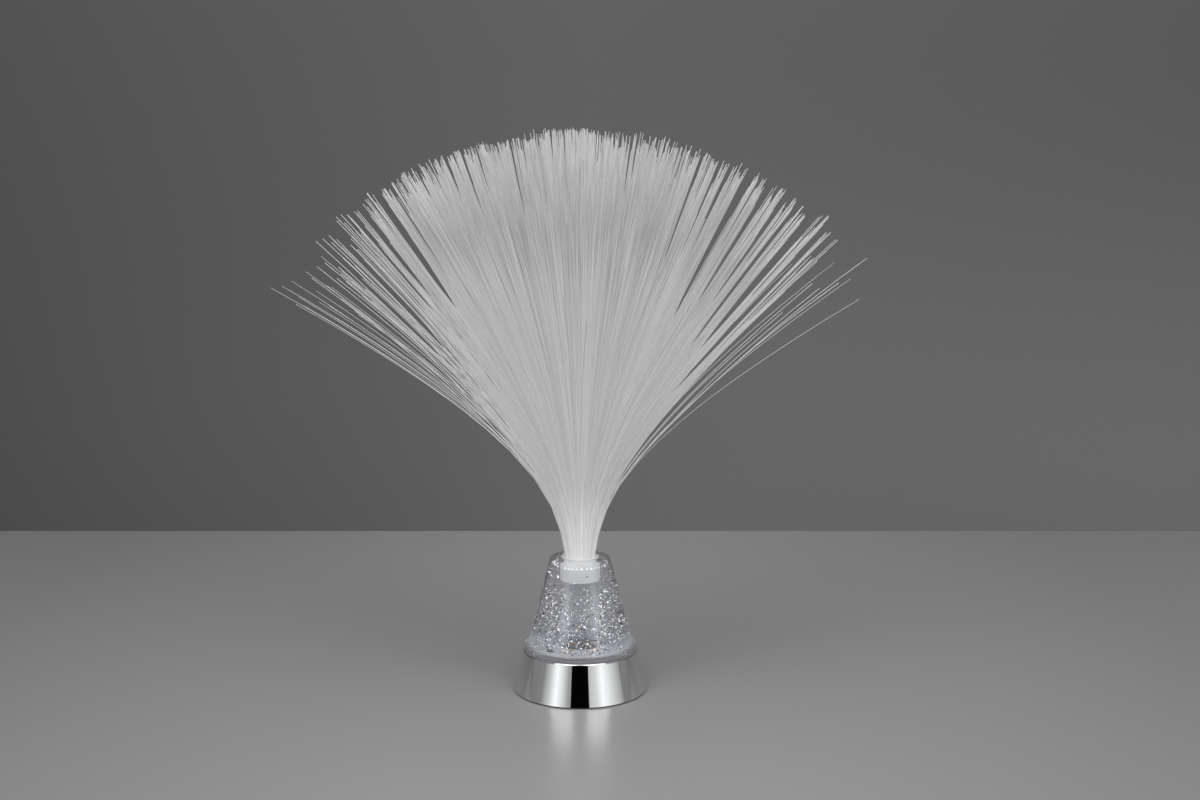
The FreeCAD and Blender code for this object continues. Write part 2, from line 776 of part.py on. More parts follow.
def leds():
    """Three domed 5 mm LEDs with their two legs, close under the light tube."""
    for i, (x, y) in enumerate(around(s.led_offset, led_angles)):
        body = new_body(f"led_{i + 1}")
        rim = new_sketch(body, "rim", "XY_Plane")
        disc(rim, (0, 0), s.led_flange_radius)
        pad(body, rim, s.led_flange_height)
        barrel = new_sketch(body, "barrel", "XY_Plane")
        disc(barrel, (0, 0), s.led_radius)
        pad(body, barrel, s.led_height - s.led_radius)
        dome = body.newObject("PartDesign::AdditiveSphere", f"{body.Name}_dome")
        bind(dome, "Radius", s.led_radius)
        bind(dome, "Placement.Base.z", s.led_height - s.led_radius)
        legs = new_sketch(body, "legs", "XY_Plane")
        for side in (1, -1):
            block(legs, s.led_leg_spacing / 2 * side, 0, s.led_leg, s.led_leg)
        pad(body, legs, s.board_thickness + s.led_leg * 2, downward=True)
        place(body, x, y, board_top)


def resistor():
    """Axial resistor lying on the board."""
    body = new_body("resistor")
    barrel = new_sketch(body, "barrel", "YZ_Plane")
    disc(barrel, (-s.resistor_offset, board_top + s.resistor_radius), s.resistor_radius)
    pad(body, barrel, s.resistor_length, midplane=True)
    lead = new_sketch(body, "lead", "XZ_Plane", s.resistor_offset)
    end = s.resistor_length / 2
    over = board_top + s.resistor_radius + s.led_leg / 2
    under = over - s.led_leg
    out = end + s.led_leg_spacing / 2
    polyline(lead, [
        (end - s.led_leg, over),
        (out, over),
        (out, board_top),
        (out - s.led_leg, board_top),
        (out - s.led_leg, under),
        (end - s.led_leg, under),
    ])
    mirror(body, pad(body, lead, s.led_leg, midplane=True))


def control_chip():
    """Colour-change chip with four flat legs on each side."""
    body = new_body("control_chip")
    case = new_sketch(body, "case", "XY_Plane", board_top)
    block(case, 0, chip_y, s.chip_width, s.chip_length)
    pad(body, case, s.chip_height)
    legs = new_sketch(body, "legs", "XY_Plane", board_top)
    for i in range(4):
        block(legs, 0, chip_y + s.chip_pitch * (i - 1.5), s.chip_width + s.chip_leg * 2, s.led_leg)
    pad(body, legs, s.led_leg / 2)


def lead(name, places):
    """A wire along straight runs joined by tangent arcs of one radius."""
    bend = number_of(s.lead_bend)
    points = [Vector(*(number_of(value) for value in spot)) for spot in places]
    edges = []
    start = points[0]
    for before, corner, after in zip(points, points[1:], points[2:]):
        into = (corner - before).normalize()
        out = (after - corner).normalize()
        turn = into.getAngle(out)
        setback = bend * math.tan(turn / 2)
        bisector = (out - into).normalize()
        centre = corner + bisector * (bend / math.cos(turn / 2))
        first = corner - into * setback
        last = corner + out * setback
        middle = centre - bisector * bend
        edges.append(Part.LineSegment(start, first).toShape())
        edges.append(Part.Arc(first, middle, last).toShape())
        start = last
    edges.append(Part.LineSegment(start, points[-1]).toShape())
    way = (points[1] - points[0]).normalize()
    side = Vector(0, 0, 1) if abs(way.z) < 0.9 else Vector(1, 0, 0)
    side = way.cross(side).normalize()
    section = []
    for i in range(7):
        turned = Rotation(way, 60 * i).multVec(side)
        section.append(points[0] + turned * number_of(s.wire_radius))
    made = doc.addObject("Part::Feature", name)
    made.Label = name
    made.Shape = Part.Wire(edges).makePipeShell([Part.makePolygon(section)], True, False)
    made.Placement = Placement()


def leads():
    """Red leads from cell to switch to board, and the black return lead, past the bosses and the bay."""
    tab_x = cell_pitch
    tab_y = bay_half_length - s.contact_thickness - s.wire_radius - s.seat_gap
    pin_y = s.led_leg_spacing
    pin_top = switch_top + s.switch_pin + s.wire_radius / 2
    board_end = board_underside - s.seat_gap
    (feed_x, feed_y), (return_x, return_y) = around(s.lead_circle, lead_angles)
    lead("battery_lead", [
        (tab_x, tab_y, lead_height),
        (tab_x + s.lead_slack, tab_y - s.lead_run, lead_height),
        (switch_x - s.lead_slack, pin_y + s.lead_run - s.lead_slack, lead_height),
        (switch_x, pin_y, lead_height),
        (switch_x, pin_y, pin_top),
    ])
    lead("switch_lead", [
        (switch_x, 0, pin_top),
        (switch_x, 0, lead_height),
        (feed_x, feed_y, lead_height),
        (feed_x, feed_y, board_end),
    ])
    lead("return_lead", [
        (-tab_x, -tab_y, lead_height),
        (-tab_x, s.lead_run - tab_y, lead_height),
        (return_x, return_y, lead_height),
        (return_x, return_y, board_end),
    ])


def vessel_shell():
    """Clear cone with its flange, thick top and the socket that the sleeve plugs into."""
    body = new_body("vessel_shell")
    revolve(body, [
        (flange_radius, s.base_height),
        (flange_radius, flange_top),
        (cone_foot_radius, flange_top),
        (cone_top_radius, vessel_top),
        (seat_recess_radius, vessel_top),
        (seat_recess_radius, sleeve_seat),
        (socket_radius, sleeve_seat),
        (socket_radius, socket_bottom),
        (tube_bore_radius, socket_bottom),
        (tube_bore_radius, socket_underside),
        (socket_outer_radius, socket_underside),
        (socket_outer_radius, ceiling),
        (ceiling_radius, ceiling),
        (vessel_inner_radius, flange_top),
        (vessel_inner_radius, s.base_height),
    ])
    pilots = new_sketch(body, "screw_pilots", "XY_Plane", s.base_height)
    for spot in around(vessel_screw_circle, vessel_screw_angles):
        disc(pilots, spot, s.vessel_screw_radius + s.pilot_gap)
    pocket(body, pilots, s.vessel_screw_bite + s.seat_gap)
    dress(body, "Fillet", s.vessel_edge_round, ring(cone_top_radius, vessel_top))
    dress(body, "Fillet", s.flange_round, ring(flange_radius, flange_top))


def vessel_floor():
    """Clear floor glued into the cone, with the tapered tube that carries the light up."""
    body = new_body("vessel_floor")
    floor_radius = vessel_inner_radius - s.floor_gap
    seal_low = s.base_height + (s.floor_thickness - s.seal_height) / 2
    revolve(body, [
        (s.tube_foot_radius, s.base_height),
        (floor_radius, s.base_height),
        (floor_radius, seal_low),
        (floor_radius - s.seal_width, seal_low),
        (floor_radius - s.seal_width, seal_low + s.seal_height),
        (floor_radius, seal_low + s.seal_height),
        (floor_radius, floor_top),
        (s.tube_foot_radius + s.tube_wall, floor_top),
        (s.tube_top_radius + s.tube_wall, tube_top),
        (s.tube_top_radius, tube_top),
        (s.tube_foot_radius, floor_top),
    ])
    hole = new_sketch(body, "filler_hole", "XY_Plane", s.base_height)
    disc(hole, (s.plug_offset * cosine(s.plug_angle), s.plug_offset * sine(s.plug_angle)), s.plug_radius)
    pocket(body, hole, s.floor_thickness)
    seal = new_body("floor_seal")
    revolve(seal, [
        (floor_radius - s.seal_width, seal_low),
        (vessel_inner_radius, seal_low),
        (vessel_inner_radius, seal_low + s.seal_height),
        (floor_radius - s.seal_width, seal_low + s.seal_height),
    ])
    plug = new_body("filler_plug")
    cork = new_sketch(plug, "cork", "XY_Plane", s.base_height)
    disc(cork, (s.plug_offset * cosine(s.plug_angle), s.plug_offset * sine(s.plug_angle)), s.plug_radius)
    pad(plug, cork, s.floor_thickness + s.plug_rise)


def glitter_fill():
    """The liquid between cone, floor, tube and socket, a little clear of all of them."""
    body = new_body("glitter_fill")
    gap = s.fill_gap
    low = floor_top + gap
    high = ceiling - gap
    tube_foot = s.tube_foot_radius + s.tube_wall
    tube_tip = s.tube_top_radius + s.tube_wall
    step = socket_underside - gap
    wall_slope = (vessel_inner_radius - ceiling_radius) / (ceiling - flange_top)
    revolve(body, [
        (tube_foot - tube_slope * gap + gap, low),
        (vessel_inner_radius - gap, low),
        (vessel_inner_radius - gap, flange_top),
        (ceiling_radius + wall_slope * gap - gap, high),
        (socket_outer_radius + gap, high),
        (socket_outer_radius + gap, step),
        (tube_tip + tube_slope * (tube_top - step) + gap, step),
    ])
    pit = new_sketch(body, "plug_pit", "XY_Plane", floor_top)
    disc(pit, (s.plug_offset * cosine(s.plug_angle), s.plug_offset * sine(s.plug_angle)), s.plug_radius + gap)
    pocket(body, pit, s.plug_rise + gap)


def fibre_sleeve():
    """White flanged sleeve that holds the ends of all the fibres."""
    body = new_body("fibre_sleeve")
    revolve(body, [
        (sleeve_bore, sleeve_bottom),
        (sleeve_radius, sleeve_bottom),
        (sleeve_radius, sleeve_flange_underside),
        (sleeve_flange_radius, sleeve_flange_underside),
        (sleeve_flange_radius, sleeve_top),
        (sleeve_bore + s.sleeve_mouth_flare, sleeve_top),
        (sleeve_bore, mouth_start),
    ])
    dress(body, "Fillet", s.sleeve_flange_thickness / 3, ring(sleeve_flange_radius, sleeve_top))


def lock(body, radius, share, crown, tip_width, tip_thickness):
    """Loft a lock of fibres along its bends, from a hexagon in the sleeve to a wide and thin tip."""
    headings = [0] + [heading * share for heading in lock_headings] + [lock_headings[-1] * share]
    runs = [mouth_start - sleeve_bottom, *lock_runs[:-1], lock_runs[-1] + crown]
    neck_width = s.strand_flats * 2 / math.sqrt(3)
    spread_run = sum(runs[spread_start:])
    x, z = radius, sleeve_bottom
    stations = []
    for i, heading in enumerate(headings):
        spread = sum(runs[spread_start:i]) / spread_run if i > spread_start else 0
        closed = 1 - spread
        width = neck_width + (tip_width - neck_width) * spread
        thickness = tip_thickness + (s.strand_flats - tip_thickness) * (closed * closed * closed)
        sketch = new_sketch(body, f"station{i}", "XY_Plane", z)
        tilt = (headings[i - 1] + heading) / 2 if i else 0
        lean = Rotation(Vector(0, 1, 0), number_of(tilt))
        sketch.AttachmentOffset = Placement(Vector(0, 0, number_of(z)), lean)
        bind(sketch, ".AttachmentOffset.Base.x", x)
        bind(sketch, ".AttachmentOffset.Rotation.Angle", tilt)
        half, edge, point = thickness / 2, (width - thickness / math.sqrt(3)) / 2, width / 2
        polyline(sketch, [(half, edge), (0, point), (-half, edge), (-half, -edge), (0, -point), (half, -edge)])
        stations.append((sketch, x, z, width))
        if i < len(runs):
            x, z = x + sine(heading) * runs[i], z + cosine(heading) * runs[i]
    sketches = [station[0] for station in stations]
    loft = feature(body, "AdditiveLoft", sketches[0])
    loft.Sections = sketches[1:]
    loft.Ruled = True
    return stations


def tufts(body, stations):
    """Two wedge-shaped slits from just past the last bend to the tip, which part a lock into three tufts."""
    _, _, root_height, root_width = stations[-2]
    _, tip_x, tip_height, tip_width = stations[-1]
    slits = new_sketch(body, "slits", "YZ_Plane")
    root, top = root_height + overrun, tip_height + overrun
    for side in (-1, 1):
        root_y, tip_y, half = root_width / 6 * side, tip_width / 6 * side, s.tuft_gap / 2
        polyline(slits, [(root_y, root), (tip_y + half, top), (tip_y - half, top)])
    pocket(body, slits, tip_x + overrun)


def ring_places(number):
    """The angles of a ring's places: six more in each ring than in the one inside it."""
    count = strands_per_ring_step * number
    return [number_of(s.ring_turn) * number + 360 / count * i for i in range(count)]


def fibre_rings():
    """Rings of lofted locks, which lean out more from ring to ring, and thin strays in the outer ring."""
    strays = ring_places(ring_count)[::stray_step]
    for number in range(ring_count + 1):
        body = new_body(f"lock_{number}" if number else "fibre_core")
        share = s.spray_share * (number / ring_count) ** crowding
        crown = s.crown_run * (1 - number / ring_count)
        stations = lock(body, s.strand_pitch * number, share, crown, s.blade_width, s.blade_thickness)
        if number:
            tufts(body, stations)
            taken = strays if number == ring_count else []
            copies(f"fibre_ring_{number}", body, [angle for angle in ring_places(number) if angle not in taken])
    body = new_body("stray")
    stray_width = s.stray_thickness * 2 / math.sqrt(3)
    lock(body, s.strand_pitch * ring_count, s.stray_share, 0, stray_width, s.stray_thickness)
    copies("fibre_strays", body, strays)


base_shell()
bottom_plate()
rubber_feet()
screws("base_screws", base_screw_places, s.plate_height + s.screw_head_height, s.screw_length,
       s.screw_radius, s.screw_head_radius, s.screw_head_height - s.seat_gap, upward=True)
battery_cells()
contact_springs()
contacts()
battery_door()
slide_switch()
led_board()
screws("board_screws", board_screw_places, board_top, board_top - roof_top - s.board_screw_gap,
       s.board_screw_radius, s.board_screw_head_radius, s.board_screw_head_height, upward=False)
leds()
resistor()
control_chip()
leads()
vessel_shell()
vessel_floor()
screws("vessel_screws", around(vessel_screw_circle, vessel_screw_angles), deck_underside,
       s.deck_thickness + s.vessel_screw_bite, s.vessel_screw_radius, s.vessel_screw_head_radius,
       s.vessel_screw_head_height, upward=True)
glitter_fill()
fibre_sleeve()
fibre_rings()
doc.recompute()

kept_types = ("PartDesign::Body", "Part::Sweep", "Part::Feature", "Part::Compound")
pieces = []
for item in doc.Objects:
    if "Invalid" in item.State or "Error" in item.State:
        raise ValueError(f"{item.Name} failed: {item.State}")
    if item.TypeId == "PartDesign::Pocket" and item.Shape.Volume >= item.BaseFeature.Shape.Volume - 1e-6:
        raise ValueError(f"{item.Name} cuts nothing")
    if item.TypeId in kept_types and item not in only_copied:
        if item.Shape.isNull() or not item.Shape.isValid():
            raise ValueError(f"{item.Label} has no valid shape")
        pieces.append(item)

os.makedirs("parts", exist_ok=True)
for item in pieces:
    item.Shape.exportStep(f"parts/{item.Label}.step")
    print(item.Label, len(item.Shape.Solids), "solids", round(item.Shape.Volume, 1), "mm3")
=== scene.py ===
import math
import bpy
import numpy as np
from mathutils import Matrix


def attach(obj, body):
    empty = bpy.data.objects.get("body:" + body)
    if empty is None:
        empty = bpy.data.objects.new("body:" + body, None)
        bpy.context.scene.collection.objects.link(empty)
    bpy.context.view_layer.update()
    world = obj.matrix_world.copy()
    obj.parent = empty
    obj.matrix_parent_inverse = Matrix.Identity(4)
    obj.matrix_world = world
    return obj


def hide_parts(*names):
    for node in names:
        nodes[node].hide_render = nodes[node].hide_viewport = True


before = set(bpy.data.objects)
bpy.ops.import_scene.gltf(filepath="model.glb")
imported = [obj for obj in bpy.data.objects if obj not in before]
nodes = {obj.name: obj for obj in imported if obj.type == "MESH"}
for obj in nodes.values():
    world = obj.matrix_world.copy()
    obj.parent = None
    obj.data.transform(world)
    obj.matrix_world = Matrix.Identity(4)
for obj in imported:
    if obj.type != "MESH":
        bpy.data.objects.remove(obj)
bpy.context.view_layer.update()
mm = 0.001
print("frame loaded:", len(nodes), "nodes")


def newMaterial(name):
    made = bpy.data.materials.new(name)
    made.use_nodes = True
    tree = made.node_tree
    return made, tree, tree.nodes["Principled BSDF"], tree.nodes["Material Output"]


# A new node, with its sockets and settings given by name
def addNode(tree, kind, **settings):
    node = tree.nodes.new(kind)
    for key, value in settings.items():
        if key in node.inputs:
            node.inputs[key].default_value = value
        else:
            setattr(node, key, value)
    return node


def setSockets(node, settings):
    for key, value in settings.items():
        node.inputs[key].default_value = value


# A socket gets a plain number, or a link from another node
def feed(tree, socket, value):
    if isinstance(value, (int, float)):
        socket.default_value = value
    else:
        tree.links.new(value, socket)


# A sum, product or comparison of two sockets or numbers
def joined(tree, operation, first, second=0.0):
    node = addNode(tree, "ShaderNodeMath", operation=operation)
    feed(tree, node.inputs[0], first)
    feed(tree, node.inputs[1], second)
    return node.outputs[0]


# A number from one range of values onto another
def ranged(tree, value, source, target, ease="LINEAR"):
    node = addNode(tree, "ShaderNodeMapRange", interpolation_type=ease)
    setSockets(node, dict(zip(("From Min", "From Max", "To Min", "To Max"), (*source, *target))))
    tree.links.new(value, node.inputs["Value"])
    return node.outputs["Result"]


def colourRamp(tree, factor, stops, ease="LINEAR"):
    ramp = tree.nodes.new("ShaderNodeValToRGB")
    ramp.color_ramp.interpolation = ease
    tree.links.new(factor, ramp.inputs["Fac"])
    while len(ramp.color_ramp.elements) < len(stops):
        ramp.color_ramp.elements.new(0.5)
    for element, (position, colour) in zip(ramp.color_ramp.elements, stops):
        element.position = position
        element.color = (*colour, 1)
    return ramp.outputs["Color"]


# A ramp of greys, each a little bluer than plain grey if wanted
def greyRamp(tree, factor, stops, blue=1.0):
    return colourRamp(tree, factor, [(position, (level, level, level * blue)) for position, level in stops])


def mixColours(tree, share, first, second, blend="MIX"):
    node = addNode(tree, "ShaderNodeMix", data_type="RGBA", blend_type=blend)
    feed(tree, node.inputs[0], share)
    tree.links.new(first, node.inputs[6])
    tree.links.new(second, node.inputs[7])
    return node.outputs[2]


def mixShaders(tree, share, first, second):
    node = tree.nodes.new("ShaderNodeMixShader")
    for socket, source in zip(node.inputs, (share, first, second)):
        tree.links.new(source, socket)
    return node.outputs["Shader"]


def splitUp(tree, vector):
    node = tree.nodes.new("ShaderNodeSeparateXYZ")
    tree.links.new(vector, node.inputs["Vector"])
    return [node.outputs[axis] for axis in "XYZ"]


def objectAxes(tree):
    return splitUp(tree, tree.nodes.new("ShaderNodeTexCoord").outputs["Object"])


# The two values that each corner of a piece carries in its own UV map
def spotAxes(tree):
    return splitUp(tree, addNode(tree, "ShaderNodeUVMap", uv_map="spots").outputs["UV"])[:2]


# Two sizes of noise on Object coordinates: a mask from 0 to 1, and a normal bumped by the finer one
def makeSurfaceGroup():
    group = bpy.data.node_groups.new("surfaceGrain", "ShaderNodeTree")
    for name, start in (("Coarse", 60), ("Fine", 900), ("Depth", 0.05)):
        socket = group.interface.new_socket(name=name, in_out="INPUT", socket_type="NodeSocketFloat")
        socket.default_value = start
    group.interface.new_socket(name="Mask", in_out="OUTPUT", socket_type="NodeSocketFloat")
    group.interface.new_socket(name="Normal", in_out="OUTPUT", socket_type="NodeSocketVector")
    entry = group.nodes.new("NodeGroupInput")
    leave = group.nodes.new("NodeGroupOutput")
    place = group.nodes.new("ShaderNodeTexCoord")
    coarse = addNode(group, "ShaderNodeTexNoise", Detail=3.0)
    fine = addNode(group, "ShaderNodeTexNoise", Detail=2.0)
    bump = addNode(group, "ShaderNodeBump", Distance=0.0002)
    link = group.links.new
    link(place.outputs["Object"], coarse.inputs["Vector"])
    link(place.outputs["Object"], fine.inputs["Vector"])
    link(entry.outputs["Coarse"], coarse.inputs["Scale"])
    link(entry.outputs["Fine"], fine.inputs["Scale"])
    link(entry.outputs["Depth"], bump.inputs["Strength"])
    link(fine.outputs["Fac"], bump.inputs["Height"])
    link(coarse.outputs["Fac"], leave.inputs["Mask"])
    link(bump.outputs["Normal"], leave.inputs["Normal"])
    return group


surfaceGroup = makeSurfaceGroup()


# The grain bumps the shader, if one is given, and its mask comes back for colour and roughness
def addGrain(tree, grain, shader=None):
    node = tree.nodes.new("ShaderNodeGroup")
    node.node_tree = surfaceGroup
    setSockets(node, dict(zip(("Coarse", "Fine", "Depth"), grain)))
    if shader:
        tree.links.new(node.outputs["Normal"], shader.inputs["Normal"])
    return node.outputs["Mask"]


# An opaque finish: its colour drifts between two shades and its roughness between two values
def plainFinish(name, dark, light, rough, grain, settings=None):
    made, tree, shader, _ = newMaterial(name)
    mask = addGrain(tree, grain, shader)
    tree.links.new(colourRamp(tree, mask, [(0.3, dark), (0.7, light)]), shader.inputs["Base Color"])
    tree.links.new(ranged(tree, mask, (0, 1), rough), shader.inputs["Roughness"])
    setSockets(shader, settings or {})
    return made


# Clear plastic: a finely rippled glass shader, before what goes over it
def clearFinish(name, tint, bending, clarity, grain, settings):
    made, tree, shader, output = newMaterial(name)
    setSockets(shader, {"Base Color": (*tint, 1), "IOR": bending, "Transmission Weight": clarity, **settings})
    addGrain(tree, grain, shader)
    return made, tree, shader.outputs["BSDF"], output


def seeThrough(tree, shade=(1, 1, 1)):
    return addNode(tree, "ShaderNodeBsdfTransparent", Color=(*shade, 1)).outputs["BSDF"]


# Lamps reach through: for a shadow ray the surface is a tinted transparent one
def passShadows(tree, surface, output, shade):
    path = tree.nodes.new("ShaderNodeLightPath")
    mixed = mixShaders(tree, path.outputs["Is Shadow Ray"], surface, seeThrough(tree, shade))
    tree.links.new(mixed, output.inputs["Surface"])


# A milky skin over a clear shader
def milkOver(tree, surface, milk, amount):
    pale = addNode(tree, "ShaderNodeBsdfDiffuse", Color=(*milk, 1))
    return mixShaders(tree, amount, surface, pale.outputs["BSDF"])


# How milky a skin is where it is turned away: a range of facing onto a range of milk
def turnedAway(tree, facing, milk):
    weight = addNode(tree, "ShaderNodeLayerWeight", Blend=0.5)
    return ranged(tree, weight.outputs["Facing"], facing, milk, "SMOOTHSTEP")


# Heights and radii in mm
cone = {
    "tint": (0.965, 0.968, 0.979),
    "bending": 1.2,
    "clarity": 0.96,
    "gloss": {"Roughness": 0.0, "Coat Weight": 0.7, "Coat Roughness": 0.03, "Coat IOR": 1.5},
    "grain": (45, 260, 0.002),
    "middle": ((27.6, 29.5), (75.6, 17.2)),  # the middle line of the wall, as two pairs of height and radius
    "inner": (25.2, 78.4),  # the heights between which the wall has an inner side
    "milk": (0.84, 0.845, 0.865),
    "rim": ((0.5, 1.0), (0.0, 0.16)),  # a range of facing, and the milk it gets
    "flangeMilk": 0.18,
    "flangeTop": (28.2, 29.2),  # where the flange's milk ends
    "shadowShade": (0.95, 0.96, 0.98),
}


# A mask of the wall's inner side: nearer to the axis than the middle line, and between the two heights
def innerSide(tree, x, y, height):
    radius = joined(tree, "SQRT", joined(tree, "ADD", joined(tree, "POWER", x, 2.0), joined(tree, "POWER", y, 2.0)))
    (lowZ, lowR), (highZ, highR) = cone["middle"]
    slope = (highR - lowR) / (highZ - lowZ)
    middle = joined(tree, "ADD", joined(tree, "MULTIPLY", height, slope), (lowR - slope * lowZ) * mm)
    low, high = cone["inner"]
    mask = joined(tree, "LESS_THAN", radius, middle)
    mask = joined(tree, "MULTIPLY", mask, joined(tree, "GREATER_THAN", height, low * mm))
    return joined(tree, "MULTIPLY", mask, joined(tree, "LESS_THAN", height, high * mm))


# The cone is one block of plastic, liquid and tube to the light, so only its outer skin bends it, and the inner
# side is plain transparent. Its rim and its flange look milky
def makeConeMaterial():
    made, tree, clear, output = clearFinish("clearCone", cone["tint"], cone["bending"], cone["clarity"],
                                            cone["grain"], cone["gloss"])
    x, y, height = objectAxes(tree)
    low, high = cone["flangeTop"]
    flange = ranged(tree, height, (low * mm, high * mm), (cone["flangeMilk"], 0.0), "SMOOTHSTEP")
    skin = milkOver(tree, clear, cone["milk"], joined(tree, "MAXIMUM", turnedAway(tree, *cone["rim"]), flange))
    skin = mixShaders(tree, innerSide(tree, x, y, height), skin, seeThrough(tree))
    passShadows(tree, skin, output, cone["shadowShade"])
    return made


tube = {
    "bending": 1.06,
    "clarity": 0.97,
    "grain": (60, 300, 0.002),
    "rim": ((0.12, 0.65), (0.0, 0.36)),
}


# The floor and its tube lie in the liquid, so they bend light little, and their walls look milky edge-on
def makeTubeMaterial():
    made, tree, clear, output = clearFinish("clearTube", cone["tint"], tube["bending"], tube["clarity"],
                                            tube["grain"], {"Roughness": 0.0})
    passShadows(tree, milkOver(tree, clear, cone["milk"], turnedAway(tree, *tube["rim"])), output,
                cone["shadowShade"])
    return made


# The LEDs' resin, a little rough
def makeResinMaterial():
    made, tree, clear, output = clearFinish("ledResin", (0.93, 0.95, 0.97), 1.5, 1.0, (200, 900, 0.03),
                                            {"Roughness": 0.06})
    passShadows(tree, clear, output, (0.93, 0.95, 0.98))
    return made


whitePlastic = ((0.80, 0.80, 0.79), (0.84, 0.84, 0.83), (0.28, 0.36), (90, 1500, 0.04))
# The sleeve's glow is painted light, an emission though the sleeve is no lamp
sleeve = {"glow": 0.12, "paintedGlowTop": (74.5, 77.5)}  # the glow ends between these heights, in mm


# The sleeve gets a painted glow below the top of the cone: a little emission that stands in for light it does not
# get there
def makeSleeveMaterial():
    made = plainFinish("whiteSleeve", *whitePlastic, {"Specular IOR Level": 0.5, "Emission Strength": 1.0})
    tree = made.node_tree
    height = objectAxes(tree)[2]
    low, high = sleeve["paintedGlowTop"]
    rise = ranged(tree, height, (low * mm, high * mm), (0.0, 1.0), "SMOOTHSTEP")
    tree.links.new(greyRamp(tree, rise, [(0.0, sleeve["glow"]), (1.0, 0.0)], 1.02),
                   tree.nodes["Principled BSDF"].inputs["Emission Color"])
    return made


liquid = {
    "clarity": 0.968,
    "tints": ((0.95, 0.955, 0.972), (0.97, 0.973, 0.982)),
    "shadowShade": (0.97, 0.975, 0.985),
}


# The liquid: a faintly tinted, slightly hazy body that bends hardly any light itself and lets lamps through
def makeLiquidMaterial():
    made, tree, shader, output = newMaterial("liquid")
    setSockets(shader, {"IOR": 1.01, "Transmission Weight": liquid["clarity"], "Roughness": 0.0,
                        "Specular IOR Level": 0.0})
    mask = addGrain(tree, (40, 500, 0.0))
    tint = colourRamp(tree, mask, list(zip((0.3, 0.7), liquid["tints"])))
    tree.links.new(tint, shader.inputs["Base Color"])
    passShadows(tree, shader.outputs["BSDF"], output, liquid["shadowShade"])
    return made


# The wrapped can of a cell: a dark sleeve, and a pale grey band from bandStart mm past its middle to its plus end;
# span is how far the pattern is measured to each side of the middle
cell = {"bandStart": 10.5, "span": 30.0, "sleeve": (0.10, 0.12, 0.16), "band": (0.42, 0.44, 0.46)}


def makeCellMaterial(name, way):
    made, tree, shader, _ = newMaterial(name)
    mask = addGrain(tree, (120, 1500, 0.03), shader)
    end = cell["span"] * mm * way
    along = ranged(tree, objectAxes(tree)[1], (-end, end), (0, 1))
    bandAt = 0.5 + cell["bandStart"] / (2 * cell["span"])
    wrap = colourRamp(tree, along, [(0.5, cell["sleeve"]), (bandAt, cell["band"])], "CONSTANT")
    tree.links.new(wrap, shader.inputs["Base Color"])
    tree.links.new(ranged(tree, mask, (0, 1), (0.25, 0.4)), shader.inputs["Roughness"])
    setSockets(shader, {"Metallic": 0.6})
    return made


# A dark and a light shade, the range of roughness, and the grain's coarse scale, fine scale and depth
metal = {"Metallic": 1.0}
materials = {
    "chrome": plainFinish("chrome", (0.83, 0.84, 0.85), (0.87, 0.88, 0.89), (0.035, 0.06), (30, 400, 0.002), metal),
    "steel": plainFinish("steel", (0.50, 0.50, 0.49), (0.62, 0.62, 0.60), (0.22, 0.38), (300, 2500, 0.06), metal),
    "springSteel": plainFinish("springSteel", (0.58, 0.57, 0.54), (0.72, 0.71, 0.68), (0.15, 0.3),
                               (400, 2000, 0.04), metal),
    "whitePlastic": plainFinish("whitePlastic", *whitePlastic, {"Specular IOR Level": 0.5}),
    "whiteSleeve": makeSleeveMaterial(),
    "blackPlastic": plainFinish("blackPlastic", (0.018, 0.018, 0.02), (0.03, 0.03, 0.032), (0.38, 0.5),
                                (80, 2500, 0.12)),
    "rubber": plainFinish("rubber", (0.022, 0.022, 0.022), (0.045, 0.045, 0.043), (0.7, 0.85), (200, 3000, 0.2)),
    "board": plainFinish("board", (0.36, 0.21, 0.09), (0.50, 0.31, 0.15), (0.4, 0.55), (250, 1800, 0.1)),
    "resistor": plainFinish("resistor", (0.52, 0.42, 0.24), (0.62, 0.52, 0.32), (0.35, 0.5), (500, 2500, 0.05)),
    "redWire": plainFinish("redWire", (0.45, 0.02, 0.015), (0.58, 0.035, 0.03), (0.35, 0.45), (300, 1500, 0.05)),
    "blackWire": plainFinish("blackWire", (0.015, 0.015, 0.015), (0.03, 0.03, 0.03), (0.35, 0.45),
                             (300, 1500, 0.05)),
    "ledResin": makeResinMaterial(),
    "clearCone": makeConeMaterial(),
    "clearTube": makeTubeMaterial(),
    "liquid": makeLiquidMaterial(),
    "cellForward": makeCellMaterial("cellForward", 1),
    "cellBackward": makeCellMaterial("cellBackward", -1),
}
print("finishes made:", len(materials))

wornBy = {
    "chrome": ["base_shell"],
    "steel": ["base_screws", "board_screws", "vessel_screws", "switch_body"],
    "springSteel": ["contact_spring_1", "contact_spring_2", "contact_spring_3", "bridge_contact_1",
                    "bridge_contact_2", "end_contact_1", "end_contact_2"],
    "whitePlastic": ["switch_slider"],
    "whiteSleeve": ["fibre_sleeve"],
    "blackPlastic": ["bottom_plate", "battery_door", "control_chip"],
    "rubber": ["rubber_feet", "floor_seal", "filler_plug"],
    "board": ["led_board"],
    "resistor": ["resistor"],
    "redWire": ["battery_lead", "switch_lead"],
    "blackWire": ["return_lead"],
    "ledResin": ["led_1", "led_2", "led_3"],
    "clearCone": ["vessel_shell"],
    "clearTube": ["vessel_floor"],
    "liquid": ["glitter_fill"],
    "cellForward": ["battery_cell_1", "battery_cell_3"],
    "cellBackward": ["battery_cell_2"],
}
for finish, wearers in wornBy.items():
    for node in wearers:
        mesh = nodes[node].data
        mesh.materials.clear()
        mesh.materials.append(materials[finish])
print("CAD nodes dressed:", sum(len(wearers) for wearers in wornBy.values()))


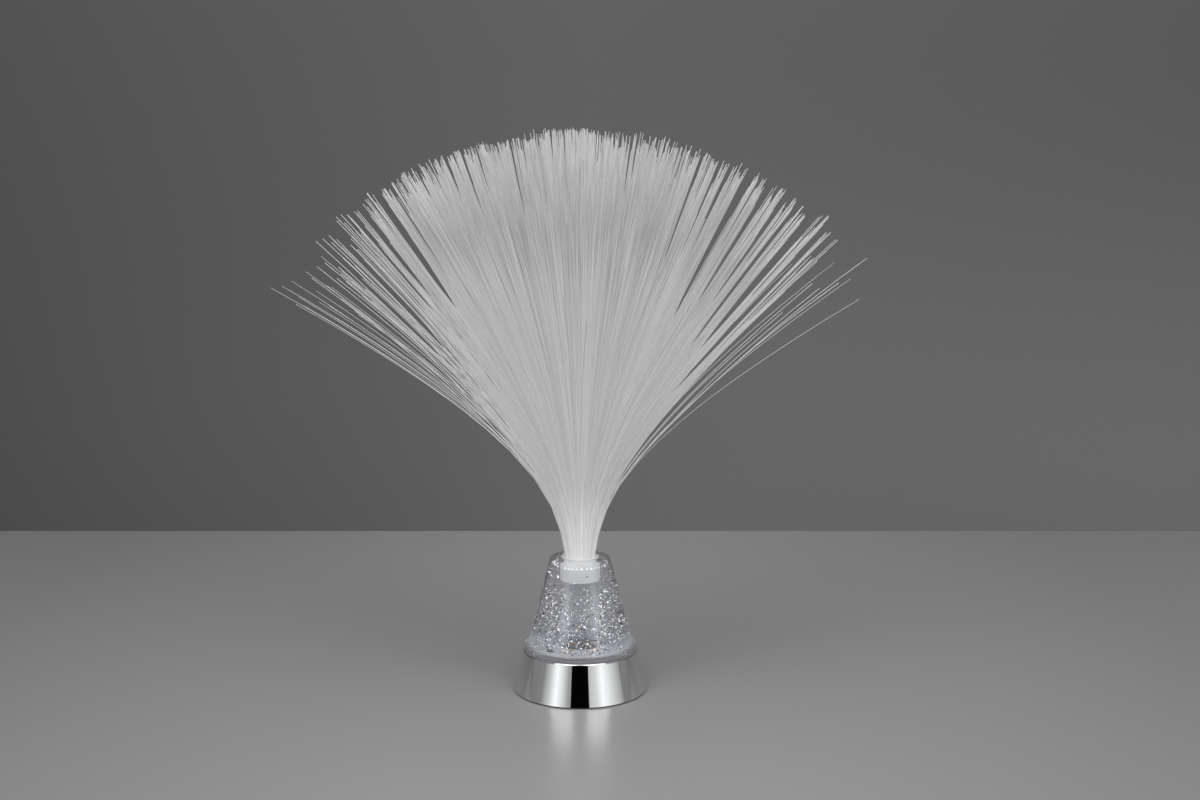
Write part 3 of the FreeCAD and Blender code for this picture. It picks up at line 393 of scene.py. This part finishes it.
# faceSets holds one array of corner numbers for each kind of face; spots gives each point its two UV values
def makePiece(name, points, faceSets, body, material, spots, smooth=True):
    mesh = bpy.data.meshes.new(name)
    corners = np.concatenate([faces.ravel() for faces in faceSets]).astype(np.int32)
    sizes = np.concatenate([np.full(len(faces), faces.shape[1]) for faces in faceSets])
    mesh.vertices.add(len(points))
    mesh.vertices.foreach_set("co", np.ascontiguousarray(points, np.float32).ravel())
    mesh.loops.add(len(corners))
    mesh.loops.foreach_set("vertex_index", corners)
    mesh.polygons.add(len(sizes))
    mesh.polygons.foreach_set("loop_start", (np.cumsum(sizes) - sizes).astype(np.int32))
    mesh.polygons.foreach_set("use_smooth", np.full(len(sizes), smooth))
    mesh.update(calc_edges=True)
    layer = mesh.uv_layers.new(name="spots")
    layer.data.foreach_set("uv", np.ascontiguousarray(spots[corners], np.float32).ravel())
    mesh.validate()
    mesh.materials.append(material)
    piece = bpy.data.objects.new(name, mesh)
    bpy.context.scene.collection.objects.link(piece)
    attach(piece, body)
    return piece


# Tubes along many paths at once: each path point carries a ring of sides points, spread by the radius
# along two directions square to the path; the rings are joined by quads and the two ends are closed
def tubeMesh(paths, acrossStart, radius, sides):
    count, steps = paths.shape[:2]
    along = np.gradient(paths, axis=1)
    along /= np.linalg.norm(along, axis=2, keepdims=True)
    first = np.cross(along, acrossStart[:, None, :])
    first /= np.linalg.norm(first, axis=2, keepdims=True)
    second = np.cross(along, first)
    angle = np.arange(sides) * 2 * np.pi / sides
    ring = first[:, :, None, :] * np.cos(angle)[:, None] + second[:, :, None, :] * np.sin(angle)[:, None]
    points = (paths[:, :, None, :] + ring * radius).reshape(-1, 3)
    index = np.arange(count * steps * sides).reshape(count, steps, sides)
    turned = np.roll(index, -1, axis=2)
    quads = np.stack([index[:, :-1], turned[:, :-1], turned[:, 1:], index[:, 1:]], axis=3).reshape(-1, 4)
    return points, [quads, index[:, 0, ::-1], index[:, -1, :]]


# Lengths in mm, and each spread as a standard deviation
spray = {
    "count": 4400,
    "radius": 0.235,
    "sides": 3,
    "steps": 14,
    "seed": 11,
    "bundleRadius": 8.1,
    "foot": 65.4,
    "mouth": 77.2,
    "reach": 247.0,
    "finePoints": 90,  # a path is worked out with this many points
    "bunched": 1.1,  # and the points it keeps lie closer together near the mouth
    "outerShorter": 6.0,
    "uneven": 1.7,  # spread of the tips
    "sway": 3.0,  # spread sideways at the tip
    "broken": 0.05,  # share of fibres that end early
    "brokenBy": (4, 22),
    "frayed": 75.0,  # most that the outermost fibres are shorter by, at the sides
    "frayedSides": (1.1, 0.7),  # weight on the right and on the left
    "frayedRise": (1.4, 0.4),  # how steeply, and from where, it grows towards the sides
    "tones": (0.12, 0.22),  # spread of tone between locks and between fibres
    "shadowShade": 0.93,
}
# The fibres draw together into locks, each round a path of its own
lock = {
    "count": 300,
    "reach": (1.5, -3, 2),  # spread of the length, and its limits
    "sway": 4.0,
    "clump": (0.2, 0.75),  # how far a lock draws its fibres in
    "taken": (0.55, 1.0),  # share of that which each fibre takes
    "from": 0.25,  # share of the length at which it begins
    "over": 0.6,  # and over which it grows
}
# Strays stand out of the edge of the spray, every other one on the left
stray = {
    "count": 26,
    "rank": 2.0,  # past the ranks of all other fibres, which end at 1
    "radius": 0.18,
    "turn": 0.45,  # spread round the left, in radians
    "share": (0.88, 0.99),
    "length": (215, 243),
    "sway": 6,
    "tone": 0.3,
}
# How far the outermost fibre leans from upright, in degrees, at lengths along it from the mouth, in mm
leanAlong = [(0, 8.8), (12, 11), (24, 18.8), (37, 27), (47, 33.4), (57, 39.5), (71, 44), (87, 48.6),
             (109, 52), (137, 55.5), (167, 57.8), (199, 59.5), (235, 61.5)]
# The share of that lean which a fibre takes, by its rank from the middle of the bundle outwards
shareByRank = [(0, 0), (0.1, 0.20), (0.3, 0.37), (0.5, 0.48), (0.7, 0.565), (0.85, 0.63), (0.92, 0.695),
               (0.96, 0.775), (0.985, 0.88), (1, 0.98)]
# How much less a fibre on the right leans, and more one on the left, at lengths along it; between the shares
# outerFrom and outerFrom + outerOver this gives way to the value of the outermost fibres
lopsided = {
    "inner": [(0, -0.06), (150, -0.06), (200, -0.05), (240, -0.02)],
    "outer": 0.03,
    "outerFrom": 0.66,
    "outerOver": 0.1,
}
# Partings in the fan as it is seen from the front: the angle from upright in degrees, half the width at the
# rim and the depth from the rim, in mm
partings = [
    (-49.7, 1.8, 120), (-45.5, 1.4, 105), (-43.0, 1.4, 100), (-38.8, 1.2, 72), (-37.3, 1.6, 57), (-33.8, 2.2, 78),
    (-31.3, 1.0, 65), (-26.5, 0.7, 18), (-21.6, 0.8, 27), (-20.2, 0.6, 12), (-18.9, 0.7, 43), (-16.5, 0.7, 35),
    (-13.2, 0.5, 14), (-11.0, 0.6, 48), (-9.1, 0.6, 23), (-4.5, 0.5, 22), (-2.4, 0.5, 22), (-1.2, 0.4, 10),
    (2.7, 0.5, 26), (5.0, 0.4, 11), (8.3, 0.8, 39), (9.2, 0.7, 27), (11.3, 0.5, 12), (13.6, 0.4, 9),
    (16.0, 0.6, 14), (18.2, 0.6, 11), (19.8, 1.1, 72), (21.3, 0.5, 30), (22.9, 1.3, 70), (24.6, 1.3, 60),
    (26.0, 0.5, 35), (27.9, 2.6, 95), (29.6, 0.7, 50), (31.6, 1.8, 85), (33.1, 0.6, 40), (34.6, 1.6, 75),
    (35.8, 0.6, 60), (37.0, 1.7, 110), (38.3, 0.7, 55), (39.8, 2.8, 100), (41.2, 0.7, 70), (42.6, 1.8, 140),
    (44.4, 0.8, 80), (46.5, 1.8, 110), (48.5, 0.8, 90),
]
fan = {
    "foot": 118.0,  # height of the point the partings fan out from
    "reach": 205.0,  # how far the rim is from it
    "eye": (11.6, -917.0, 307.1),  # the point they are seen from
    "pushReach": 4,  # how many half widths away fibres still move
    "pushSoon": 4,  # how soon, from its inner end, a parting is clear of fibres
    "crossing": 0.05,  # share of fibres that heed the partings less
    "crossingHeed": (0, 0.7),  # and how much they do
}


def lookUp(values, curve):
    return np.interp(values, *np.array(curve, float).T)


# Unit arrows square to the axis, at these turns round it
def outwards(azimuth):
    return np.stack([np.cos(azimuth), np.sin(azimuth)], axis=1)


# A fibre of share u leans by u times the outermost fibre's lean, so its path is the running sum of
# sin(lean) outwards and cos(lean) upwards; it starts upright in the sleeve at its place in the bundle
def fibrePaths(share, azimuth, bundlePlace, length, sway):
    s = np.linspace(0, 1, spray["finePoints"]) * length[:, None]
    outermost = np.clip((share[:, None] - lopsided["outerFrom"]) / lopsided["outerOver"], 0, 1)
    less = lookUp(s, lopsided["inner"]) * (1 - outermost) + lopsided["outer"] * outermost
    lean = np.radians(lookUp(s, leanAlong)) * share[:, None] * (1 - less * np.cos(azimuth)[:, None])
    ds = np.diff(s, axis=1, prepend=0)
    out = np.cumsum(np.sin(lean) * ds, axis=1)
    up = np.cumsum(np.cos(lean) * ds, axis=1) + spray["mouth"]
    side = sway[:, None] * (s / spray["reach"]) ** 2
    radial = outwards(azimuth)
    across = np.stack([-radial[:, 1], radial[:, 0]], axis=1)
    flat = bundlePlace[:, None, :] + radial[:, None, :] * out[:, :, None] + across[:, None, :] * side[:, :, None]
    path = np.concatenate([flat, up[:, :, None]], axis=2)
    wanted = np.linspace(0, 1, spray["steps"] - 1) ** spray["bunched"]
    kept = (wanted * (spray["finePoints"] - 1)).round().astype(int)
    foot = np.concatenate([bundlePlace, np.full((len(length), 1), spray["foot"])], axis=1)
    return np.concatenate([foot[:, None, :], path[:, kept]], axis=1)


# A parting is a plane through the eye and its own line across the fan. Points near it move off to the side
# that their fibre's tip is on, by the half width at the rim and by less further in, to nothing at its depth;
# a few fibres heed the partings less and cross them
def partFibres(paths, heed):
    eye = np.array(fan["eye"])
    scale = (paths[:, :, 1] - eye[1]) / -eye[1]
    x = eye[0] + (paths[:, :, 0] - eye[0]) / scale
    z = eye[2] + (paths[:, :, 2] - eye[2]) / scale - fan["foot"]
    for angle, half, depth in partings:
        turn = math.radians(angle)
        off = x * math.cos(turn) - z * math.sin(turn)
        reach = x * math.sin(turn) + z * math.cos(turn)
        side = np.where(off[:, -1:] < 0, -1, 1)
        grow = np.sqrt(np.clip((reach - fan["reach"] + depth) / depth, 0, 1))
        inside = np.clip(1 - off * side / (half * fan["pushReach"]), 0, 1)
        push = np.where(off * side > 0, half * grow * inside,
                        (half * grow - off * side) * np.clip(grow * fan["pushSoon"], 0, 1))
        push = np.where(np.abs(off) < half * fan["pushReach"], push, 0) * side * heed[:, None]
        x, z = x + push * math.cos(turn), z - push * math.sin(turn)
    moved = paths.copy()
    moved[:, :, 0] = eye[0] + (x - eye[0]) * scale
    moved[:, :, 2] = eye[2] + (z + fan["foot"] - eye[2]) * scale
    return moved


# The fibres of the spray: each has its own path, drawn towards that of the lock nearest to it in the bundle
def makeFibres(draw):
    count, locks = spray["count"], lock["count"]
    golden = math.pi * (3 - math.sqrt(5))
    lockRank = (np.arange(locks) + 0.5) / locks
    lockAzimuth = np.arange(locks) * golden
    lockPlace = np.sqrt(lockRank)[:, None] * outwards(lockAzimuth)
    rank = draw.random(count)
    azimuth = draw.random(count) * 2 * math.pi
    place = np.sqrt(rank)[:, None] * outwards(azimuth)
    near = np.argmin(((place[:, None, :] - lockPlace[None]) ** 2).sum(axis=2), axis=1)
    reachSpread, reachLow, reachHigh = lock["reach"]
    lockReach = np.clip(draw.normal(0, reachSpread, locks), reachLow, reachHigh)
    lockSway = draw.normal(0, lock["sway"], locks)
    lockClump = draw.uniform(*lock["clump"], locks)

    length = (spray["reach"] - spray["outerShorter"] * rank + lockReach[near]
              - np.abs(draw.normal(0, spray["uneven"], count)))
    length -= np.where(draw.random(count) < spray["broken"], draw.uniform(*spray["brokenBy"], count), 0)
    sideways = np.abs(np.cos(azimuth)) * np.where(np.cos(azimuth) > 0, *spray["frayedSides"])
    steep, start = spray["frayedRise"]
    length -= rank * np.clip(sideways * steep - start, 0, 1) * draw.random(count) ** 2 * spray["frayed"]

    own = fibrePaths(lookUp(rank, shareByRank), azimuth, place * spray["bundleRadius"], length,
                     draw.normal(0, spray["sway"], count))
    shared = fibrePaths(lookUp(lockRank, shareByRank)[near], lockAzimuth[near],
                        lockPlace[near] * spray["bundleRadius"], length, lockSway[near])
    along = np.linspace(0, 1, spray["steps"])[None, :, None]
    gather = np.clip((along - lock["from"]) / lock["over"], 0, 1)
    gather = gather * gather * (3 - 2 * gather) * lockClump[near][:, None, None]
    gather *= draw.uniform(*lock["taken"], count)[:, None, None]
    heed = np.where(draw.random(count) < fan["crossing"], draw.uniform(*fan["crossingHeed"], count), 1.0)
    paths = partFibres(own * (1 - gather) + shared * gather, heed)
    lockTones, ownTones = spray["tones"]
    tone = np.clip(0.5 + draw.normal(0, lockTones, locks)[near] + draw.normal(0, ownTones, count), 0, 1)
    return paths, azimuth, rank, tone


def makeStrays(draw):
    count = stray["count"]
    azimuth = np.where(np.arange(count) % 2 == 0, draw.normal(math.pi, stray["turn"], count),
                       draw.random(count) * 2 * math.pi)
    paths = fibrePaths(draw.uniform(*stray["share"], count), azimuth, outwards(azimuth) * spray["bundleRadius"],
                       draw.uniform(*stray["length"], count), draw.normal(0, stray["sway"], count))
    return paths, azimuth, np.full(count, stray["rank"]), np.full(count, stray["tone"])


# From the foot of a fibre (0) to its tip (1): its painted shading, lighter where the bundle is tight, and its
# painted glow, an emission that evens out its tone; and from a dark fibre (0) to a pale one (1): its own tone
fibrePaintedShading = [(0.0, 0.93), (0.25, 0.86), (0.6, 0.70), (1.0, 0.60)]
fibrePaintedGlow = [(0.0, 0.22), (0.2, 0.16), (0.3, 0.13), (0.55, 0.16), (0.83, 0.16), (1.0, 0.02)]
fibreTones = [(0.0, 0.66), (0.5, 0.90), (1.0, 1.0)]


# Pale acrylic, with painted shading and a painted glow along each fibre
def makeFibreMaterial():
    made, tree, shader, output = newMaterial("fibre")
    tone, along = spotAxes(tree)
    shade = mixColours(tree, 1.0, greyRamp(tree, along, fibrePaintedShading), greyRamp(tree, tone, fibreTones), "MULTIPLY")
    tree.links.new(shade, shader.inputs["Base Color"])
    tree.links.new(greyRamp(tree, along, fibrePaintedGlow), shader.inputs["Emission Color"])
    tree.links.new(ranged(tree, tone, (0, 1), (0.5, 0.36)), shader.inputs["Roughness"])
    setSockets(shader, {"IOR": 1.49, "Specular IOR Level": 0.35, "Emission Strength": 1.0})
    passShadows(tree, shader.outputs["BSDF"], output, (spray["shadowShade"],) * 3)
    return made


# The ranks at which one ring of the spray ends and the next begins
ringEnds = [0, 0.03, 0.12, 0.28, 0.48, 0.72, 1.01, stray["rank"] + 0.01]
ringNames = [("fibres_core", "fibre_core"), *((f"fibres_ring_{i}", f"fibre_ring_{i}") for i in range(1, 6)),
             ("fibres_strays", "fibre_strays")]
draw = np.random.default_rng(spray["seed"])
paths, azimuth, rank, tone = (np.concatenate(pair) for pair in zip(makeFibres(draw), makeStrays(draw)))
across = np.stack([-np.sin(azimuth), np.cos(azimuth), np.zeros(len(azimuth))], axis=1)
fibreMaterial = makeFibreMaterial()
for (name, node), low, high in zip(ringNames, ringEnds, ringEnds[1:]):
    chosen = (rank >= low) & (rank < high)
    radius = stray["radius"] if low > 1 else spray["radius"]
    points, faceSets = tubeMesh(paths[chosen] * mm, across[chosen], radius * mm, spray["sides"])
    alongEach = np.repeat(np.linspace(0, 1, spray["steps"]), spray["sides"])
    spots = np.stack([np.repeat(tone[chosen], len(alongEach)), np.tile(alongEach, chosen.sum())], axis=1)
    piece = makePiece(name, points, faceSets, "fibre_head", fibreMaterial, spots)
    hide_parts(node)
print("fibres made:", len(paths))


# Lengths in mm; radii and density are given at heights up the cone
glitter = {
    "seed": 5,
    "corners": 6,
    "large": 900,
    "small": 1600,
    "largeSize": (0.36, 0.62),
    "smallSize": (0.20, 0.34),
    "thickness": 0.06,
    "low": 27.0,
    "high": 75.0,
    "levels": 300,  # heights at which the room for flakes is worked out
    "margin": 0.7,
    "innerRadius": [(26.6, 10.9), (62.5, 7.8), (62.6, 11.8), (75.6, 11.8)],
    "outerRadius": [(27.6, 28.3), (75.6, 15.9)],
    "density": [(27, 1.6), (32, 1.25), (50, 1.1), (66, 0.6), (75, 0.45)],
}
# Flakes caught in a ring under the top of the cone, on edge and facing outwards; all get the painted glint
caught = {
    "count": 34,
    "size": (0.38, 0.6),
    "radius": 13.6,
    "height": 74.8,
    "spread": 0.02,  # of their places round the ring, in radians
    "tilt": (0.15, 0.2),  # how far they face up, and its spread
    "hue": (0.8, 1.0),
}


# Flakes: a thin plate with so many corners is turned by its own random rotation, sized, and moved to its place
def plateMesh(places, normals, spins, sizes, thickness, corners):
    k = np.arange(corners)
    rim = outwards(k * 2 * np.pi / corners)
    helper = np.where(np.abs(normals[:, 2:3]) < 0.9, [[0.0, 0.0, 1.0]], [[1.0, 0.0, 0.0]])
    first = np.cross(normals, helper)
    first /= np.linalg.norm(first, axis=1, keepdims=True)
    second = np.cross(normals, first)
    turnedFirst = first * np.cos(spins)[:, None] + second * np.sin(spins)[:, None]
    turnedSecond = np.cross(normals, turnedFirst)
    flat = turnedFirst[:, None, :] * rim[:, :1] + turnedSecond[:, None, :] * rim[:, 1:]
    flat = flat * sizes[:, None, None] + places[:, None, :]
    lift = normals[:, None, :] * thickness / 2
    points = np.concatenate([flat - lift, flat + lift], axis=1).reshape(-1, 3)
    start = np.arange(len(places))[:, None] * 2 * corners
    after = (k + 1) % corners
    sides = np.stack([k, after, after + corners, k + corners], axis=1)
    return points, [start + k[::-1], start + corners + k, (start[:, :, None] + sides[None]).reshape(-1, 4)]


def makeGlitter():
    draw = np.random.default_rng(glitter["seed"])
    count = glitter["large"] + glitter["small"]
    heights = np.linspace(glitter["low"], glitter["high"], glitter["levels"])
    inner = lookUp(heights, glitter["innerRadius"]) + glitter["margin"]
    outer = lookUp(heights, glitter["outerRadius"]) - glitter["margin"]
    weight = np.cumsum((outer ** 2 - inner ** 2) * lookUp(heights, glitter["density"]))
    z = np.interp(draw.random(count) * weight[-1], weight, heights)
    low, high = np.interp(z, heights, inner), np.interp(z, heights, outer)
    r = np.sqrt(low ** 2 + (high ** 2 - low ** 2) * draw.random(count))
    a = draw.random(count) * 2 * math.pi
    places = np.stack([r * np.cos(a), r * np.sin(a), z], axis=1)
    normals = draw.normal(size=(count, 3))
    sizes = np.concatenate([draw.uniform(*glitter["largeSize"], glitter["large"]),
                            draw.uniform(*glitter["smallSize"], glitter["small"])])

    ringCount = caught["count"]
    turn = np.arange(ringCount) * 2 * math.pi / ringCount + draw.normal(0, caught["spread"], ringCount)
    ringPlaces = np.column_stack([outwards(turn) * caught["radius"], np.full(ringCount, caught["height"])])
    ringNormals = np.column_stack([outwards(turn), draw.normal(*caught["tilt"], ringCount)])
    places = np.concatenate([places, ringPlaces])
    normals = np.concatenate([normals, ringNormals])
    sizes = np.concatenate([sizes, draw.uniform(*caught["size"], ringCount)])
    normals /= np.linalg.norm(normals, axis=1, keepdims=True)
    spins = draw.random(len(sizes)) * 2 * math.pi
    points, faceSets = plateMesh(places, normals, spins, sizes, glitter["thickness"], glitter["corners"])
    hue = draw.random(len(sizes))
    hue[-ringCount:] = draw.uniform(*caught["hue"], ringCount)
    return points * mm, faceSets, hue


# A flake's hue says what it is: a few gold and blue ones, then black, dark, silver, and those with a painted glint,
# an emission
flakeColours = [(0.0, (0.83, 0.66, 0.40)), (0.03, (0.50, 0.62, 0.85)), (0.06, (0.015, 0.016, 0.02)),
                (0.40, (0.30, 0.32, 0.36)), (0.55, (0.75, 0.77, 0.80)), (0.72, (0.97, 0.97, 0.98))]
flakePaintedGlints = [(0.0, (0, 0, 0)), (0.72, (0.70, 0.70, 0.71))]


def makeFlakeMaterial():
    made, tree, shader, _ = newMaterial("flakes")
    hue, _ = spotAxes(tree)
    tree.links.new(colourRamp(tree, hue, flakeColours, "CONSTANT"), shader.inputs["Base Color"])
    # The painted glint: the last hues glow
    tree.links.new(colourRamp(tree, hue, flakePaintedGlints, "CONSTANT"), shader.inputs["Emission Color"])
    tree.links.new(ranged(tree, hue, (0, 1), (0.42, 0.3)), shader.inputs["Roughness"])
    setSockets(shader, {"Metallic": 0.5, "Emission Strength": 1.0})
    return made


points, faceSets, hue = makeGlitter()
spots = np.stack([np.repeat(hue, 2 * glitter["corners"]), np.full(len(points), 0.5)], axis=1)
makePiece("glitter_flakes", points, faceSets, "lamp", makeFlakeMaterial(), spots, smooth=False)
print("flakes made:", len(hue))


# The table has painted shade: it is a little darker away from its middle, by the distance to the side in parts of
# shadeReach
table = {"half": 4.0, "paintedShades": [(0.15, 0.345), (0.65, 0.268)], "shadeReach": 0.6, "rough": (0.27, 0.31)}
# The wall's painted light and shade, darker to the left: its shades from left to right over shadeReach, at the
# table (low) and at highAt up (high)
wall = {
    "at": 0.406,
    "half": 1.3,
    "top": 1.6,
    "low": [(0.0, 0.117), (0.65, 0.212), (1.0, 0.226)],
    "high": [(0.0, 0.108), (0.5, 0.149), (1.0, 0.131)],
    "highAt": 0.43,
    "shadeReach": (-0.5, 0.5),
}
# A black card behind the camera, for the dark stripe in the chrome
card = {"half": 0.33, "at": -1.2, "foot": 0.001, "top": 1.5}
stageBlue = 1.01  # table and wall are this much bluer than plain grey


# Table and wall are seen only from their fronts, so that views from below and behind look past them
def oneSided(tree, shader, output):
    side = tree.nodes.new("ShaderNodeNewGeometry")
    mixed = mixShaders(tree, side.outputs["Backfacing"], shader.outputs["BSDF"], seeThrough(tree))
    tree.links.new(mixed, output.inputs["Surface"])


def makeTableMaterial():
    made, tree, shader, output = newMaterial("table")
    mask = addGrain(tree, (3, 900, 0.01), shader)
    aside = joined(tree, "ABSOLUTE", objectAxes(tree)[0])
    share = ranged(tree, aside, (0.0, table["shadeReach"]), (0.0, 1.0))
    # Painted shade towards the sides
    tree.links.new(greyRamp(tree, share, table["paintedShades"], stageBlue), shader.inputs["Base Color"])
    tree.links.new(ranged(tree, mask, (0, 1), table["rough"]), shader.inputs["Roughness"])
    setSockets(shader, {"Specular IOR Level": 0.35})
    oneSided(tree, shader, output)
    return made


def makeWallMaterial():
    made, tree, shader, output = newMaterial("wall")
    setSockets(shader, {"Roughness": 0.9, "Specular IOR Level": 0.1})
    x, _, height = objectAxes(tree)
    aside = ranged(tree, x, wall["shadeReach"], (0.0, 1.0))
    rise = ranged(tree, height, (0.0, wall["highAt"]), (0.0, 1.0), "SMOOTHSTEP")
    # Painted light and shade: the wall's shade drifts with side and height
    shade = mixColours(tree, rise, greyRamp(tree, aside, wall["low"], stageBlue),
                       greyRamp(tree, aside, wall["high"], stageBlue))
    tree.links.new(shade, shader.inputs["Base Color"])
    oneSided(tree, shader, output)
    return made


def flatPiece(name, corners, material):
    mesh = bpy.data.meshes.new(name)
    mesh.from_pydata(corners, [], [tuple(range(len(corners)))])
    mesh.materials.append(material)
    piece = bpy.data.objects.new(name, mesh)
    bpy.context.scene.collection.objects.link(piece)
    return piece


# An upright sheet across the view: it faces the camera's side, or the other way where right is negative
def upright(name, right, y, foot, top, material):
    return flatPiece(name, [(-right, y, foot), (right, y, foot), (right, y, top), (-right, y, top)], material)


half = table["half"]
flatPiece("table_top", [(-half, -half, 0), (half, -half, 0), (half, half, 0), (-half, half, 0)],
          makeTableMaterial())
upright("wall", wall["half"], wall["at"], 0, wall["top"], makeWallMaterial())
blackCard = plainFinish("card", (0.002, 0.002, 0.002), (0.003, 0.003, 0.003), (0.9, 1.0), (10, 100, 0.0),
                        {"Specular IOR Level": 0.0})
cardPiece = upright("card", -card["half"], card["at"], card["foot"], card["top"], blackCard)
cardPiece.visible_camera = cardPiece.visible_diffuse = cardPiece.visible_shadow = False


# Two long soft lights by the camera, which the chrome shows; angles in degrees, lengths in metres
stripLamp = {
    "turn": 47.4,
    "distance": 1.35,
    "width": 1.65,
    "height": 0.42,
    "lift": 0.002,
    "glow": 0.95,
    "fade": {  # left and right, from their inner ends to their outer ends
        -1: [(0.08, 0.15), (0.27, 0.64), (0.43, 1.0), (0.62, 0.42), (0.84, 0.02)],
        1: [(0.0, 0.38), (0.22, 0.54), (0.40, 0.96), (0.72, 0.46), (0.95, 0.17)],
    },
}
# Two large soft lights above them, and one overhead
keyLamp = {"turn": 38, "rise": 46, "distance": 1.6, "size": 1.0, "power": 8.5, "aim": 0.15}
topLamp = {"place": (0, -0.3, 1.9), "aim": (0, 0, 0.1), "size": 1.6, "power": 12}


def aimAt(thing, place, target):
    way = np.array(target) - np.array(place)
    way = way / np.linalg.norm(way)
    thing.location = place
    thing.rotation_euler = (math.acos(-way[2]), 0, math.atan2(way[1], way[0]) - math.pi / 2)


def areaLight(name, place, target, width, height, power):
    lamp = bpy.data.lights.new(name, "AREA")
    lamp.shape = "RECTANGLE"
    lamp.size, lamp.size_y, lamp.energy = width, height, power
    thing = bpy.data.objects.new(name, lamp)
    thing.visible_camera = False
    bpy.context.scene.collection.objects.link(thing)
    aimAt(thing, place, target)
    return lamp


# The left strip's own X runs the other way
def fadeStrip(lamp, side):
    lamp.use_nodes = True
    tree = lamp.node_tree
    across = splitUp(tree, tree.nodes.new("ShaderNodeNewGeometry").outputs["Parametric"])[0]
    stops = stripLamp["fade"][side]
    if side < 0:
        stops = [(1 - position, glow) for position, glow in reversed(stops)]
    tree.links.new(greyRamp(tree, across, stops), tree.nodes["Emission"].inputs["Color"])


for side in (-1, 1):
    turn, away = math.radians(stripLamp["turn"]), stripLamp["distance"]
    width, height = stripLamp["width"], stripLamp["height"]
    z = height / 2 + stripLamp["lift"]
    lamp = areaLight(f"strip{side}", (side * math.sin(turn) * away, -math.cos(turn) * away, z), (0, 0, z),
                     width, height, stripLamp["glow"] * math.pi * width * height)
    fadeStrip(lamp, side)
    turn, rise, away = math.radians(keyLamp["turn"]), math.radians(keyLamp["rise"]), keyLamp["distance"]
    areaLight(f"key{side}", (side * math.sin(turn) * math.cos(rise) * away,
                             -math.cos(turn) * math.cos(rise) * away, math.sin(rise) * away + keyLamp["aim"]),
              (0, 0, keyLamp["aim"]), keyLamp["size"], keyLamp["size"], keyLamp["power"])
areaLight("topLight", topLamp["place"], topLamp["aim"], topLamp["size"], topLamp["size"], topLamp["power"])

worldShade = 0.22
world = bpy.data.worlds.new("studio")
world.use_nodes = True
world.node_tree.nodes["Background"].inputs["Color"].default_value = (worldShade, worldShade, worldShade, 1)
bpy.context.scene.world = world
bpy.context.scene.view_settings.view_transform = "Standard"

view = {"place": (0.0116, -0.917, 0.3071), "tilt": 81.57, "lens": 48.45, "sensor": 36}
lens = bpy.data.cameras.new("camera")
lens.lens = view["lens"]
lens.sensor_width = view["sensor"]
camera = bpy.data.objects.new("camera", lens)
camera.location = view["place"]
camera.rotation_euler = (math.radians(view["tilt"]), 0, 0)
bpy.context.scene.collection.objects.link(camera)
bpy.context.scene.camera = camera
print("studio made")
